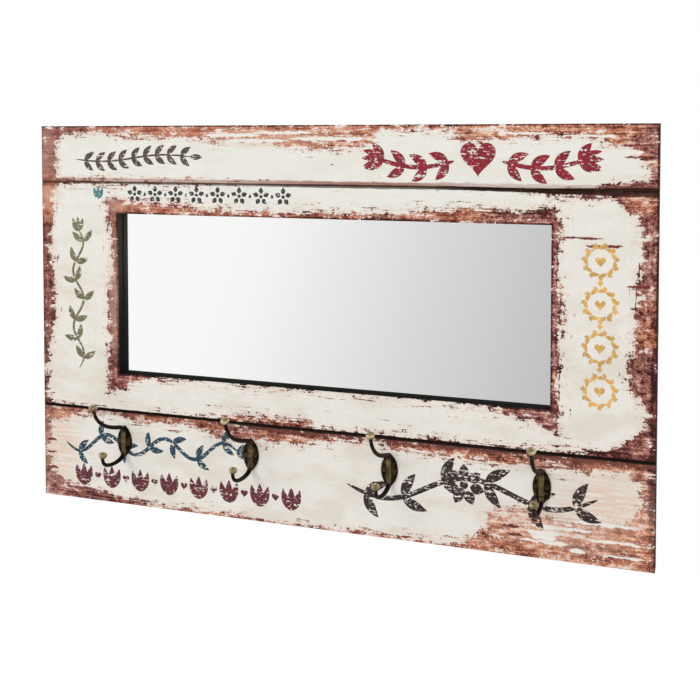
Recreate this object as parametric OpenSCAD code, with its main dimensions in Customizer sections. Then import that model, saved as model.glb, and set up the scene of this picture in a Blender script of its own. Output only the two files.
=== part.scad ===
// Wall mirror with four double coat hooks on a board that looks like three planks.
// X runs to the right, Y towards the wall and Z up. The origin lies on the back face of the
// board, midway between the entry holes of the two keyhole hangers.

/* [Board] */
// Width of the board
board_w = 800; // [760:5:1000]
// Height of the board
board_h = 500; // [490:5:640]
// Thickness of the board
board_t = 19; // [16:0.5:25]
// Width of the bevel on the front edges
edge_bevel = 1; // [0.4:0.1:2]

/* [Mirror opening] */
// Width of the opening
opening_w = 566; // [440:1:580]
// Height of the opening
opening_h = 212; // [160:1:220]
// Distance from the top edge of the board to the opening
opening_drop = 115; // [105:1:125]

/* [Plank grooves] */
// Width of a groove at the face of the board
groove_w = 3; // [2:0.5:5]
// Depth of a groove
groove_d = 2; // [1:0.5:3]
// Height of the top plank
top_plank_h = 74; // [60:1:90]
// Height of the bottom plank
bottom_plank_h = 124; // [110:1:130]

/* [Glass and backing] */
// Thickness of the mirror glass
glass_t = 3; // [2:0.5:5]
// Thickness of the hardboard backing
backing_t = 3; // [2:0.5:5]
// How far the glass reaches behind the board on each side
glass_lap = 12; // [8:1:14]
// Gap round the glass and the backing in their rebate
glass_gap = 0.5; // [0.2:0.1:1]

/* [Hook castings] */
// Distance from each end of the board to the middle of the nearest hook
hook_margin = 125.5; // [100:0.5:190]
// Height of the hook plates above the bottom edge, at their middle
hook_height = 84.5; // [70:0.5:90]
// Width of the pointed oval plate
plate_w = 21; // [19:0.5:28]
// Height of the pointed oval plate
plate_h = 42; // [38:0.5:50]
// Thickness of the plate along its middle
plate_t = 3.4; // [2.8:0.1:4]
// Thickness of the plate at its side edges
plate_rim_t = 1.8; // [1.2:0.1:2.4]
// Diameter of a prong where it leaves the plate
root_d = 5.6; // [4:0.1:6]
// Diameter of a prong just behind its ball
neck_d = 4.2; // [3:0.1:4.6]
// Diameter of the slightly flattened balls
ball_d = 11; // [8:0.5:13]
// Thickness of the balls along their prong
ball_t = 8.4; // [7:0.2:13]
// Distance of the upper ball from the board, to its middle
top_reach = 74; // [60:1:85]
// Height of the upper ball above the middle of the plate
top_rise = 61.5; // [55:0.5:75]
// Distance of the lower ball from the board, to its middle
low_reach = 53; // [46:1:60]
// How far the middle of the lower ball lies below the middle of the plate
low_drop = 4.5; // [0:0.5:6]

/* [Hook screws] */
// Distance between the two screws of a hook
hook_screw_pitch = 12.6; // [11.6:0.2:13.6]
// Shank diameter of a hook screw
hook_screw_d = 2.8; // [2:0.1:3]
// Head diameter of a hook screw
hook_screw_head_d = 5.2; // [4.6:0.1:5.6]
// Length of a hook screw, with its head
hook_screw_len = 15; // [12:0.5:17]

/* [Turn buttons] */
// Length of a turn button
button_len = 32; // [28:1:40]
// Width of a turn button
button_w = 10; // [9:0.5:14]
// Thickness of a turn button
button_t = 1.2; // [0.8:0.1:2]
// Height of the stiffening rib pressed into a turn button
button_rib_h = 0.6; // [0.3:0.1:0.8]
// Distance from the rebate's edge to the pivot of a turn button
button_inset = 9; // [8:0.5:12]
// Diameter of the pivot screw of a turn button
pivot_d = 3.9; // [3:0.1:4.4]
// Head diameter of the pivot screw
pivot_head_d = 7.6; // [6.5:0.1:8]
// Head height of the pivot screw
pivot_head_h = 2; // [1.4:0.1:2.2]
// Length of the pivot screw under its head
pivot_len = 12; // [8:0.5:14]

/* [Keyhole hangers] */
// Distance from each end of the board to the middle of the nearest hanger
hanger_margin = 100; // [80:1:160]
// Distance from the top edge of the board to the entry holes
hanger_drop = 50; // [42:1:58]
// Width of a hanger plate
hanger_w = 22; // [20:0.5:28]
// Height of a hanger plate
hanger_h = 54; // [50:1:56]
// Thickness of a hanger plate
hanger_t = 1.5; // [1.4:0.1:2.5]
// Diameter of the entry hole
keyhole_d = 9.5; // [8:0.5:11]
// Width of the slot above the entry hole
slot_w = 4.6; // [4.2:0.1:5.5]
// Rise of the slot above the middle of the entry hole
slot_rise = 12; // [10:0.5:14]
// Depth of the pocket for the wall screw's head, from the back of the board
pocket_d = 10; // [7:0.5:12]

/* [Wall pads] */
// Diameter of a wall pad
pad_d = 16; // [10:1:22]
// Thickness of a wall pad
pad_t = 4.5; // [4:0.5:8]
// Distance of a wall pad's middle from the two edges at its corner
pad_inset = 24; // [16:1:30]

/* [Hidden] */

$fn = 48;
past = 1;               // how far a cutting solid runs past the face that it cuts
hole_clear = 0.05;      // radial clearance between a screw and its hole
button_clear = 0.1;     // clearance above and below a turn button
recess_clear = 0.3;     // clearance round a hanger plate in its recess
pilot_extra = 1;        // how much deeper a pilot hole is than its screw
screw_tip_len = 4;
head_rim_h = 0.3;       // height of the straight rim of a countersunk head
blade_t = 0.8;          // thickness of the blades that the cross in a screw head takes

// The board's faces in the frame of the origin
front_y = -board_t;
top_z = hanger_drop;
bottom_z = top_z - board_h;
left_x = -board_w / 2;

// The opening, the rebate behind it, and what lies in the rebate
opening_top_z = top_z - opening_drop;
opening_bottom_z = opening_top_z - opening_h;
glass_w = opening_w + 2 * glass_lap;
glass_h = opening_h + 2 * glass_lap;
rebate_w = glass_w + 2 * glass_gap;
rebate_h = glass_h + 2 * glass_gap;
rebate_d = glass_t + backing_t;
rebate_bottom_z = opening_bottom_z - glass_lap - glass_gap;
rebate_top_z = rebate_bottom_z + rebate_h;

// The hooks
hook_z = bottom_z + hook_height;
hook_pitch = (board_w - 2 * hook_margin) / 3;
hook_x = [for (i = [-1.5:1.5]) i * hook_pitch];
screw_plate_t = plate_t - sagitta(crown_r(), hook_screw_pitch / 2);
hook_head_h = 1.4;
hook_pilot_depth = hook_screw_len - screw_plate_t + pilot_extra;
rib_gap = 0.1;          // gap between the back of the rib and the board
rib_out = root_d / 2 + rib_gap;
rib_up = plate_h * 0.2; // where the straight rib ends and the root bends begin
ring_sides = 14;
root_steps = 6;
arm_steps = 13;
ball_steps = 8;
last_angle = 174;       // where the rings of a ball end, just short of its pole at 180
root_swell_ratio = 1.18; // how much wider than deep a prong is where it leaves the plate
knee_swell_ratio = 1.06;
knee_taper = 0.12;      // share of the whole taper that lies in the root bend
root_pull = 0.6;        // share of the rise to the knee that leads up out of the rib
knee_pull = 8;          // length of the handle that leads into the knee
top_knee_reach = 14;    // how far from the board the upper prong's root bend ends
top_knee_lift = 0.6;    // how far above the plate it ends
low_knee_reach = 12;    // how far from the board the lower prong's root bend ends

// Each prong as [out and up of its knee, heading there, out and up of its ball, heading there,
// lengths of the two handles of its arm's curve]
top_knee = [top_knee_reach, plate_h / 2 + top_knee_lift];
low_knee = [low_knee_reach, -plate_h / 2];
top_ball = [top_reach, top_rise];
low_ball = [low_reach, -low_drop];
top_shape = [top_knee, 11.5, top_ball, 75, top_reach * 0.3, top_rise * 0.37];
low_shape = [low_knee, -14, low_ball, 98, low_reach * 0.245, low_reach * 0.28];

// The hangers
hanger_x = board_w / 2 - hanger_margin;
hanger_foot = 22;       // how far a hanger plate reaches below its entry hole
hanger_screw_edge = 6;  // distance of a hanger screw from the end of its plate
hanger_screw_d = 2.8;
hanger_head_d = 5.4;
hanger_head_h = 1.3;
hanger_screw_len = 13;
hanger_screw_z = [hanger_screw_edge - hanger_foot, hanger_h - hanger_foot - hanger_screw_edge];
pocket_w = keyhole_d + 3;

// Turn buttons as [x, z, turn]: two over the top edge of the rebate, two under the bottom edge
// and one beside each end. An unturned button points down.
button_row_x = rebate_w / 4;
button_mid_z = (rebate_top_z + rebate_bottom_z) / 2;
button_seats = [
    [-button_row_x, rebate_top_z + button_inset, 0],
    [button_row_x, rebate_top_z + button_inset, 0],
    [rebate_w / 2 + button_inset, button_mid_z, 90],
    [button_row_x, rebate_bottom_z - button_inset, 180],
    [-button_row_x, rebate_bottom_z - button_inset, 180],
    [-rebate_w / 2 - button_inset, button_mid_z, 270]
];
pivot_hole_d = pivot_d + 2 * hole_clear;
dome_rise = 0.7;        // how far the domed top of a pivot screw's head rises from its rim

function sagitta(r, half_chord) = r - sqrt(r * r - half_chord * half_chord);
function crown_r() = let (s = plate_t - plate_rim_t, c = plate_w / 2) (c * c + s * s) / (2 * s);
function oval_r() = (plate_h * plate_h + plate_w * plate_w) / (4 * plate_w);

// ---------------------------------------------------------------- general shapes

// A countersunk head and the start of its shank, along -Z with its top at z = 0, made larger all
// round by grow.
module countersunk_head(d, head_d, head_h, grow) {
    translate([0, 0, -head_rim_h]) cylinder(d = head_d + 2 * grow, h = head_rim_h);
    translate([0, 0, -head_h])
        cylinder(d1 = d + 2 * grow, d2 = head_d + 2 * grow, h = head_h - head_rim_h);
}

// A screw that points along -Z with the top of its countersunk head at z = 0.
module countersunk_screw(d, head_d, head_h, len) {
    difference() {
        union() {
            countersunk_head(d, head_d, head_h, 0);
            translate([0, 0, screw_tip_len - len]) cylinder(d = d, h = len - screw_tip_len - head_h);
            translate([0, 0, -len]) cylinder(d1 = 0.4, d2 = d, h = screw_tip_len);
        }
        cross_drive(head_d * 0.55, head_h * 0.65);
    }
}

// The hole that such a screw needs in a plate, with its mouth at z = 0.
module countersunk_hole(d, head_d, head_h, depth) {
    countersunk_head(d, head_d, head_h, hole_clear);
    translate([0, 0, -depth]) cylinder(d = d + 2 * hole_clear, h = depth - head_h);
    cylinder(d = head_d + 2 * hole_clear, h = past);
}

// The cross cut into a screw head whose top is at z = 0.
module cross_drive(span, depth) {
    for (turn = [0, 90]) {
        rotate([0, 0, turn])
            translate([-span / 2, -blade_t / 2, -depth]) cube([span, blade_t, depth + past]);
    }
}

// A strip with round ends from [0, z1] to [0, z2] in the XZ plane, from y1 back to y2.
module strip(w, z1, z2, y1, y2) {
    translate([-w / 2, y1, z1]) cube([w, y2 - y1, z2 - z1]);
    for (z = [z1, z2]) {
        translate([0, y1, z]) rotate([-90, 0, 0]) cylinder(d = w, h = y2 - y1);
    }
}

// A square bar laid along an edge, with its corners in the two faces that meet there.
module bevel_bar(len) {
    rotate([45, 0, 0]) cube([len, edge_bevel * sqrt(2), edge_bevel * sqrt(2)], center = true);
}

// Bevels the four outer front edges of the board.
module outer_bevels() {
    for (z = [bottom_z, top_z]) {
        translate([0, front_y, z]) bevel_bar(board_w + 2 * past);
    }
    for (side = [-1, 1]) {
        translate([side * board_w / 2, front_y, (bottom_z + top_z) / 2])
            rotate([0, 90, 0]) bevel_bar(board_h + 2 * past);
    }
}

// The corners, at depth y, of the opening made larger all round by grow.
function opening_corners(y, grow) = [
    [-opening_w / 2 - grow, y, opening_bottom_z - grow],
    [opening_w / 2 + grow, y, opening_bottom_z - grow],
    [opening_w / 2 + grow, y, opening_top_z + grow],
    [-opening_w / 2 - grow, y, opening_top_z + grow]
];

// A low pyramid stump that bevels the front edges of the opening, with mitred corners.
module opening_bevels() {
    polyhedron(
        points = concat(
            opening_corners(front_y - edge_bevel, 2 * edge_bevel),
            opening_corners(front_y + 2 * edge_bevel, -edge_bevel)
        ),
        faces = [[3, 2, 1, 0], [4, 5, 6, 7], [0, 1, 5, 4], [1, 2, 6, 5], [2, 3, 7, 6], [3, 0, 4, 7]]
    );
}

// ---------------------------------------------------------------- the board

// A V-groove across the whole face of the board at height z.
module plank_groove(z) {
    flare = groove_w / 2 * (1 + past / groove_d);
    translate([left_x - past, front_y, z])
        rotate([90, 0, 90])
        linear_extrude(board_w + 2 * past)
        polygon([[-past, -flare], [-past, flare], [groove_d, 0]]);
}

// The outline of a hanger plate, made larger all round by grow, from y1 back to y2.
module hanger_outline(grow, y1, y2) {
    strip(hanger_w + 2 * grow, hanger_w / 2 - hanger_foot, hanger_h - hanger_foot - hanger_w / 2, y1, y2);
}

// The flush recess and the screw-head pocket of one keyhole hanger.
module hanger_recess(x) {
    depth = hanger_screw_len + pilot_extra;
    translate([x, 0, 0]) {
        hanger_outline(recess_clear, -hanger_t, past);
        strip(pocket_w, 0, slot_rise, -pocket_d, 0);
        for (z = hanger_screw_z) {
            translate([0, -depth, z])
                rotate([-90, 0, 0]) cylinder(d = hanger_screw_d + 2 * hole_clear, h = depth);
        }
    }
}

module board() {
    color([0.91, 0.88, 0.83])
    difference() {
        translate([left_x, front_y, bottom_z]) cube([board_w, board_t, board_h]);
        translate([-opening_w / 2, front_y - past, opening_bottom_z])
            cube([opening_w, board_t + 2 * past, opening_h]);
        translate([-rebate_w / 2, -rebate_d, rebate_bottom_z])
            cube([rebate_w, rebate_d + past, rebate_h]);
        outer_bevels();
        opening_bevels();
        plank_groove(top_z - top_plank_h);
        plank_groove(bottom_z + bottom_plank_h);
        hanger_recess(-hanger_x);
        hanger_recess(hanger_x);
        for (x = hook_x, side = [-1, 1]) {
            translate([x + side * hook_screw_pitch / 2, front_y - past, hook_z])
                rotate([-90, 0, 0]) cylinder(d = hook_screw_d + 2 * hole_clear, h = hook_pilot_depth + past);
        }
        for (seat = button_seats) {
            translate([seat[0], -pivot_len - pilot_extra, seat[1]])
                rotate([-90, 0, 0]) cylinder(d = pivot_hole_d, h = pivot_len + pilot_extra + past);
        }
    }
}

// The glass and the backing stand on the bottom of the rebate.
module mirror_glass() {
    color([0.83, 0.86, 0.88])
    translate([-glass_w / 2, -rebate_d, rebate_bottom_z]) cube([glass_w, glass_t, glass_h]);
}

module backing_panel() {
    color([0.45, 0.31, 0.2])
    translate([-glass_w / 2, -backing_t, rebate_bottom_z]) cube([glass_w, backing_t, glass_h]);
}

// ---------------------------------------------------------------- the hooks

// A prong's middle line lies in one upright plane, as points [out, up]: out from the board's
// face and up from the middle of the plate. Each stretch is a cubic curve.
function curve(p, t) =
    (1 - t) ^ 3 * p[0] + 3 * t * (1 - t) ^ 2 * p[1] + 3 * t ^ 2 * (1 - t) * p[2] + t ^ 3 * p[3];
function slope(p, t) =
    let (d = (1 - t) ^ 2 * (p[1] - p[0]) + 2 * t * (1 - t) * (p[2] - p[1]) + t ^ 2 * (p[3] - p[2]))
    atan2(d[1], d[0]);
function heading(a) = [cos(a), sin(a)];

// A ring of a prong is [middle, heading, radius, sideways swell]. Along a curve the radius runs
// from r1 to r2 and the swell from s1 to s2.
function curve_rings(p, steps, first, r1, r2, s1, s2) =
    [for (i = [first:steps]) let (t = i / steps)
        [curve(p, t), slope(p, t), r1 + (r2 - r1) * t, s1 + (s2 - s1) * t]];

// The ball that ends a prong, from its neck to just short of its pole, flattened along the prong.
neck_angle = asin(neck_d / ball_d);
function ball_rings(middle, a) =
    [for (i = [1:ball_steps])
        let (turn = neck_angle + (last_angle - neck_angle) * i / ball_steps)
        [middle - heading(a) * ball_t / 2 * cos(turn), a, ball_d / 2 * sin(turn), 1]];

// One prong from the end of the rib, at height start, to its tip.
function prong(start, shape) =
    let (
        knee = shape[0],
        ball = shape[2],
        neck = ball - heading(shape[3]) * ball_t / 2 * cos(neck_angle),
        rib_end = [rib_out, start],
        leave = rib_end + [0, root_pull * (knee[1] - start)],
        root = [rib_end, leave, knee - heading(shape[1]) * knee_pull, knee],
        arm = [knee, knee + heading(shape[1]) * shape[4], neck - heading(shape[3]) * shape[5], neck],
        knee_r = (root_d - (root_d - neck_d) * knee_taper) / 2
    )
    concat(
        curve_rings(root, root_steps, 0, root_d / 2, knee_r, root_swell_ratio, knee_swell_ratio),
        curve_rings(arm, arm_steps, 1, knee_r, neck_d / 2, knee_swell_ratio, 1),
        ball_rings(ball, shape[3])
    );

top_prong = prong(rib_up, top_shape);
low_prong = prong(-rib_up, low_shape);

// The rings of the whole casting's rod, from the upper tip down the rib to the lower tip. The
// upper half is walked backwards, so its headings are turned round.
rod_rings = concat(
    [for (i = [len(top_prong) - 1:-1:0]) let (r = top_prong[i]) [r[0], r[1] + 180, r[2], r[3]]],
    low_prong
);

function ring_point(ring, k) =
    let (
        a = 360 * k / ring_sides,
        across = ring[2] * sin(a) * ring[3],
        flat = ring[0] + ring[2] * cos(a) * heading(ring[1] + 90)
    )
    [across, -flat[0], flat[1]];

// The rod as one closed skin of rings, with a flat facet at each tip.
module rod() {
    last = len(rod_rings) - 1;
    polyhedron(
        points = [for (ring = rod_rings, k = [0:ring_sides - 1]) ring_point(ring, k)],
        faces = concat(
            [[for (k = [ring_sides - 1:-1:0]) k]],
            [for (i = [0:last - 1], k = [0:ring_sides - 1], half = [0, 1])
                let (
                    a = i * ring_sides + k,
                    b = i * ring_sides + (k + 1) % ring_sides
                )
                half == 0 ? [a, b, a + ring_sides] : [b, b + ring_sides, a + ring_sides]],
            [[for (k = [0:ring_sides - 1]) last * ring_sides + k]]
        )
    );
}

// One side of the plate's outline: a wide cylinder through the plate.
module oval_side(side) {
    translate([side * (oval_r() - plate_w / 2), 0, 0])
        rotate([90, 0, 0]) cylinder(r = oval_r(), h = plate_t + past, $fn = 96);
}

// The plate: its pointed oval lies where two wide cylinders cross, and a third crowns its front.
module hook_plate() {
    intersection() {
        oval_side(-1);
        oval_side(1);
        translate([0, crown_r() - plate_t, -plate_h])
            cylinder(r = crown_r(), h = 2 * plate_h, $fn = 128);
    }
}

// One hook, with the middle of its back face at the origin.
module hook_casting() {
    difference() {
        union() {
            hook_plate();
            rod();
        }
        for (side = [-1, 1]) {
            translate([side * hook_screw_pitch / 2, -screw_plate_t, 0])
                rotate([90, 0, 0])
                countersunk_hole(hook_screw_d, hook_screw_head_d, hook_head_h, plate_t + past);
        }
    }
}

module hook(i) {
    color([0.36, 0.28, 0.15])
    translate([hook_x[i - 1], front_y, hook_z]) hook_casting();
}

module hook_screws(i) {
    color([0.42, 0.34, 0.2])
    for (side = [-1, 1]) {
        translate([hook_x[i - 1] + side * hook_screw_pitch / 2, front_y - screw_plate_t, hook_z])
            rotate([90, 0, 0])
            countersunk_screw(hook_screw_d, hook_screw_head_d, hook_head_h, hook_screw_len);
    }
}

// ---------------------------------------------------------------- the turn buttons

// Puts its children, made for a pivot at the origin, on turn button i's seat.
module at_button(i) {
    seat = button_seats[i - 1];
    translate([seat[0], 0, seat[1]]) rotate([0, seat[2], 0]) children();
}

// A strip of sheet steel with round ends and a pressed rib along its tail.
module turn_button(i) {
    tail_z = -(button_len - button_w);
    rib_r = button_w * 0.28;
    back_y = button_clear + button_t;
    color([0.74, 0.75, 0.77])
    at_button(i)
    difference() {
        union() {
            strip(button_w, tail_z, 0, button_clear, back_y);
            translate([0, back_y + button_rib_h - rib_r, tail_z])
                cylinder(r = rib_r, h = -tail_z - pivot_head_d / 2 - button_w * 0.15);
        }
        translate([0, button_clear - past, 0])
            rotate([-90, 0, 0]) cylinder(d = pivot_hole_d, h = button_t + 2 * past);
        translate([-button_w, button_clear - 2 * rib_r, tail_z - button_w])
            cube([2 * button_w, 2 * rib_r, button_len + button_w]);
    }
}

// A pan-head screw: its shank fills the pivot hole and runs on into the board.
module turn_screw(i) {
    head_y = 2 * button_clear + button_t;
    dome_r = ((pivot_head_d / 2) ^ 2 + dome_rise ^ 2) / (2 * dome_rise);
    color([0.8, 0.8, 0.8])
    at_button(i)
    difference() {
        union() {
            intersection() {
                translate([0, head_y, 0]) rotate([-90, 0, 0]) cylinder(d = pivot_head_d, h = pivot_head_h);
                translate([0, head_y + pivot_head_h - dome_r, 0]) sphere(r = dome_r, $fn = 96);
            }
            translate([0, screw_tip_len - pivot_len, 0])
                rotate([-90, 0, 0]) cylinder(d = pivot_d, h = pivot_len - screw_tip_len + head_y);
            translate([0, -pivot_len, 0])
                rotate([-90, 0, 0]) cylinder(d1 = 0.5, d2 = pivot_d, h = screw_tip_len);
        }
        translate([0, head_y + pivot_head_h, 0])
            rotate([-90, 0, 0]) cross_drive(pivot_head_d * 0.55, pivot_head_h * 0.6);
    }
}

// ---------------------------------------------------------------- the hangers and pads

// A flush plate with an entry hole, the slot above it and a countersunk hole at each end.
module hanger(side) {
    color([0.72, 0.73, 0.75])
    translate([side * hanger_x, 0, 0])
    difference() {
        hanger_outline(0, -hanger_t, 0);
        translate([0, -hanger_t - past, 0])
            rotate([-90, 0, 0]) cylinder(d = keyhole_d, h = hanger_t + 2 * past);
        strip(slot_w, 0, slot_rise, -hanger_t - past, past);
        for (z = hanger_screw_z) {
            translate([0, 0, z])
                rotate([-90, 0, 0])
                countersunk_hole(hanger_screw_d, hanger_head_d, hanger_head_h, hanger_t + past);
        }
    }
}

module hanger_screws(side) {
    color([0.8, 0.8, 0.8])
    for (z = hanger_screw_z) {
        translate([side * hanger_x, 0, z])
            rotate([-90, 0, 0])
            countersunk_screw(hanger_screw_d, hanger_head_d, hanger_head_h, hanger_screw_len);
    }
}

// Wall pads at the back corners: 1 and 2 at the top, 3 and 4 at the bottom, left first.
module wall_pad(i) {
    across = i % 2 == 1 ? -1 : 1;
    z = i <= 2 ? top_z - pad_inset : bottom_z + pad_inset;
    color([0.2, 0.2, 0.2])
    translate([across * (board_w / 2 - pad_inset), 0, z])
        rotate([-90, 0, 0]) cylinder(d1 = pad_d, d2 = pad_d * 0.86, h = pad_t);
}

board();
mirror_glass();
backing_panel();
hook(1);  // hook_1
hook(2);  // hook_2
hook(3);  // hook_3
hook(4);  // hook_4
hook_screws(1);  // hook_1_screws
hook_screws(2);  // hook_2_screws
hook_screws(3);  // hook_3_screws
hook_screws(4);  // hook_4_screws
turn_button(1);  // turn_button_1
turn_button(2);  // turn_button_2
turn_button(3);  // turn_button_3
turn_button(4);  // turn_button_4
turn_button(5);  // turn_button_5
turn_button(6);  // turn_button_6
turn_screw(1);  // turn_screw_1
turn_screw(2);  // turn_screw_2
turn_screw(3);  // turn_screw_3
turn_screw(4);  // turn_screw_4
turn_screw(5);  // turn_screw_5
turn_screw(6);  // turn_screw_6
hanger(-1);  // hanger_left
hanger(1);  // hanger_right
hanger_screws(-1);  // hanger_left_screws
hanger_screws(1);  // hanger_right_screws
wall_pad(1);  // wall_pad_1
wall_pad(2);  // wall_pad_2
wall_pad(3);  // wall_pad_3
wall_pad(4);  // wall_pad_4
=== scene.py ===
"""Looks of the wall mirror with four double coat hooks.

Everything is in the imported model's frame, in metres: X runs to the right along the board, Y
towards the wall and Z up. Sizes that a maker would quote are written in millimetres and turned
into metres with MM. Places on the board's face are given as (across, down): millimetres from its
left edge and below its top edge.
"""
import logging
import math
from collections.abc import Sequence
from dataclasses import dataclass, field
from enum import Enum
from typing import ClassVar

import bpy
import numpy as np
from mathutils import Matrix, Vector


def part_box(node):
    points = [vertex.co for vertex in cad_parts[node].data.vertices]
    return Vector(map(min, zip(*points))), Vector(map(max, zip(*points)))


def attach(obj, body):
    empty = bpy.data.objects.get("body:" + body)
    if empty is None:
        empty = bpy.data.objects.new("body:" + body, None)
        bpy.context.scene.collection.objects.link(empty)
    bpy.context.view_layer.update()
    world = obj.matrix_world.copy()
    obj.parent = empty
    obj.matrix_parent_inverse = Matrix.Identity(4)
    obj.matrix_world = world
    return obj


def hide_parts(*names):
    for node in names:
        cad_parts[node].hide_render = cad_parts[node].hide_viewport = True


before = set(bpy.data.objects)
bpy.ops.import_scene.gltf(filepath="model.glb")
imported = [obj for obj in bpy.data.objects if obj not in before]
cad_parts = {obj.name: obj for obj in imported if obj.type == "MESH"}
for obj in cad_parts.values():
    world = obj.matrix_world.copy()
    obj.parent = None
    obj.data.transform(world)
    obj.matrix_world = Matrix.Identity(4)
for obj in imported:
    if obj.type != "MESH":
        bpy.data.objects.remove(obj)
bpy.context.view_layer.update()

MM = 0.001
BOARD_BODY = "board_assembly"
HOOK_COUNT = 4

log = logging.getLogger("mirror_with_hooks")

Colour = tuple[float, float, float, float]
Stops = Sequence[tuple[float, Colour]]
Point = tuple[float, float]
Place = tuple[float, float, float]
WHITE: Colour = (1.0, 1.0, 1.0, 1.0)


def tint(red: int, green: int, blue: int) -> Colour:
    """Turns an 8-bit screen colour into the linear colour that shaders use.

    Args:
        red: Red as it looks on screen, 0 to 255.
        green: Green, 0 to 255.
        blue: Blue, 0 to 255.

    Returns:
        The linear colour with full opacity.
    """
    channels = [value / 255 for value in (red, green, blue)]
    linear = [c / 12.92 if c <= 0.04045 else ((c + 0.055) / 1.055) ** 2.4 for c in channels]
    return (linear[0], linear[1], linear[2], 1.0)


def ladder(*colours: Colour) -> Stops:
    """Spaces colours evenly from 0 to 1, as the stops of a ramp."""
    return tuple((k / (len(colours) - 1), colour) for k, colour in enumerate(colours))


def add_object(name: str, data: bpy.types.ID) -> bpy.types.Object:
    """Makes an object of its data and links it to the scene.

    Args:
        name: Name of the object.
        data: Its mesh, lamp or camera.

    Returns:
        The object, at the origin.
    """
    made = bpy.data.objects.new(name, data)
    bpy.context.scene.collection.objects.link(made)
    return made


# ---------------------------------------------------------------- shader expressions


class Wire:
    """An output socket that takes part in shader maths like a number."""

    def __init__(self, graph: "Graph", socket: bpy.types.NodeSocket) -> None:
        """Wraps one output socket of the graph's tree."""
        self.graph = graph
        self.socket = socket

    def _math(self, operation: str, *values: "Wire | float") -> "Wire":
        """Adds one Math node that works on the values in their order."""
        return self.graph.node("ShaderNodeMath", {"operation": operation}, dict(enumerate(values)))

    def __add__(self, other: "Wire | float") -> "Wire":
        """Adds two values."""
        return self._math("ADD", self, other)

    __radd__ = __add__

    def __sub__(self, other: "Wire | float") -> "Wire":
        """Subtracts other from this value."""
        return self._math("SUBTRACT", self, other)

    def __rsub__(self, other: "Wire | float") -> "Wire":
        """Subtracts this value from other, as in 1 - mask."""
        return self._math("SUBTRACT", other, self)

    def __mul__(self, other: "Wire | float") -> "Wire":
        """Multiplies two values."""
        return self._math("MULTIPLY", self, other)

    __rmul__ = __mul__

    def __truediv__(self, other: "Wire | float") -> "Wire":
        """Divides this value by other."""
        return self._math("DIVIDE", self, other)

    def __abs__(self) -> "Wire":
        """Gives the value without its sign."""
        return self._math("ABSOLUTE", self)

    def sine(self) -> "Wire":
        """Gives the sine of the value, in radians."""
        return self._math("SINE", self)

    def largest(self, other: "Wire | float") -> "Wire":
        """Gives the larger of two values."""
        return self._math("MAXIMUM", self, other)

    def smallest(self, other: "Wire | float") -> "Wire":
        """Gives the smaller of two values."""
        return self._math("MINIMUM", self, other)

    def rise(self, low: float, high: float, top: float = 1.0) -> "Wire":
        """Runs smoothly from 0 at low to top at high, and stays there beyond them."""
        settings = {"interpolation_type": "SMOOTHSTEP"}
        return self.graph.node("ShaderNodeMapRange", settings, {0: self, 1: low, 2: high, 4: top})

    def fall(self, low: float, high: float, top: float = 1.0) -> "Wire":
        """Runs smoothly from top at low down to 0 at high."""
        return top - self.rise(low, high, top)

    def climb(self, start: float, *steps: Place) -> "Wire":
        """Adds several rises to a starting value.

        Args:
            start: Value below the first step.
            steps: Rises as (low, high, top); a negative top lowers the value.

        Returns:
            The sum.
        """
        total = start
        for low, high, top in steps:
            total = self.rise(low, high, top) + total
        return total

    def sibling(self, name: str) -> "Wire":
        """Gives another output of the same node."""
        return Wire(self.graph, self.socket.node.outputs[name])


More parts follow.
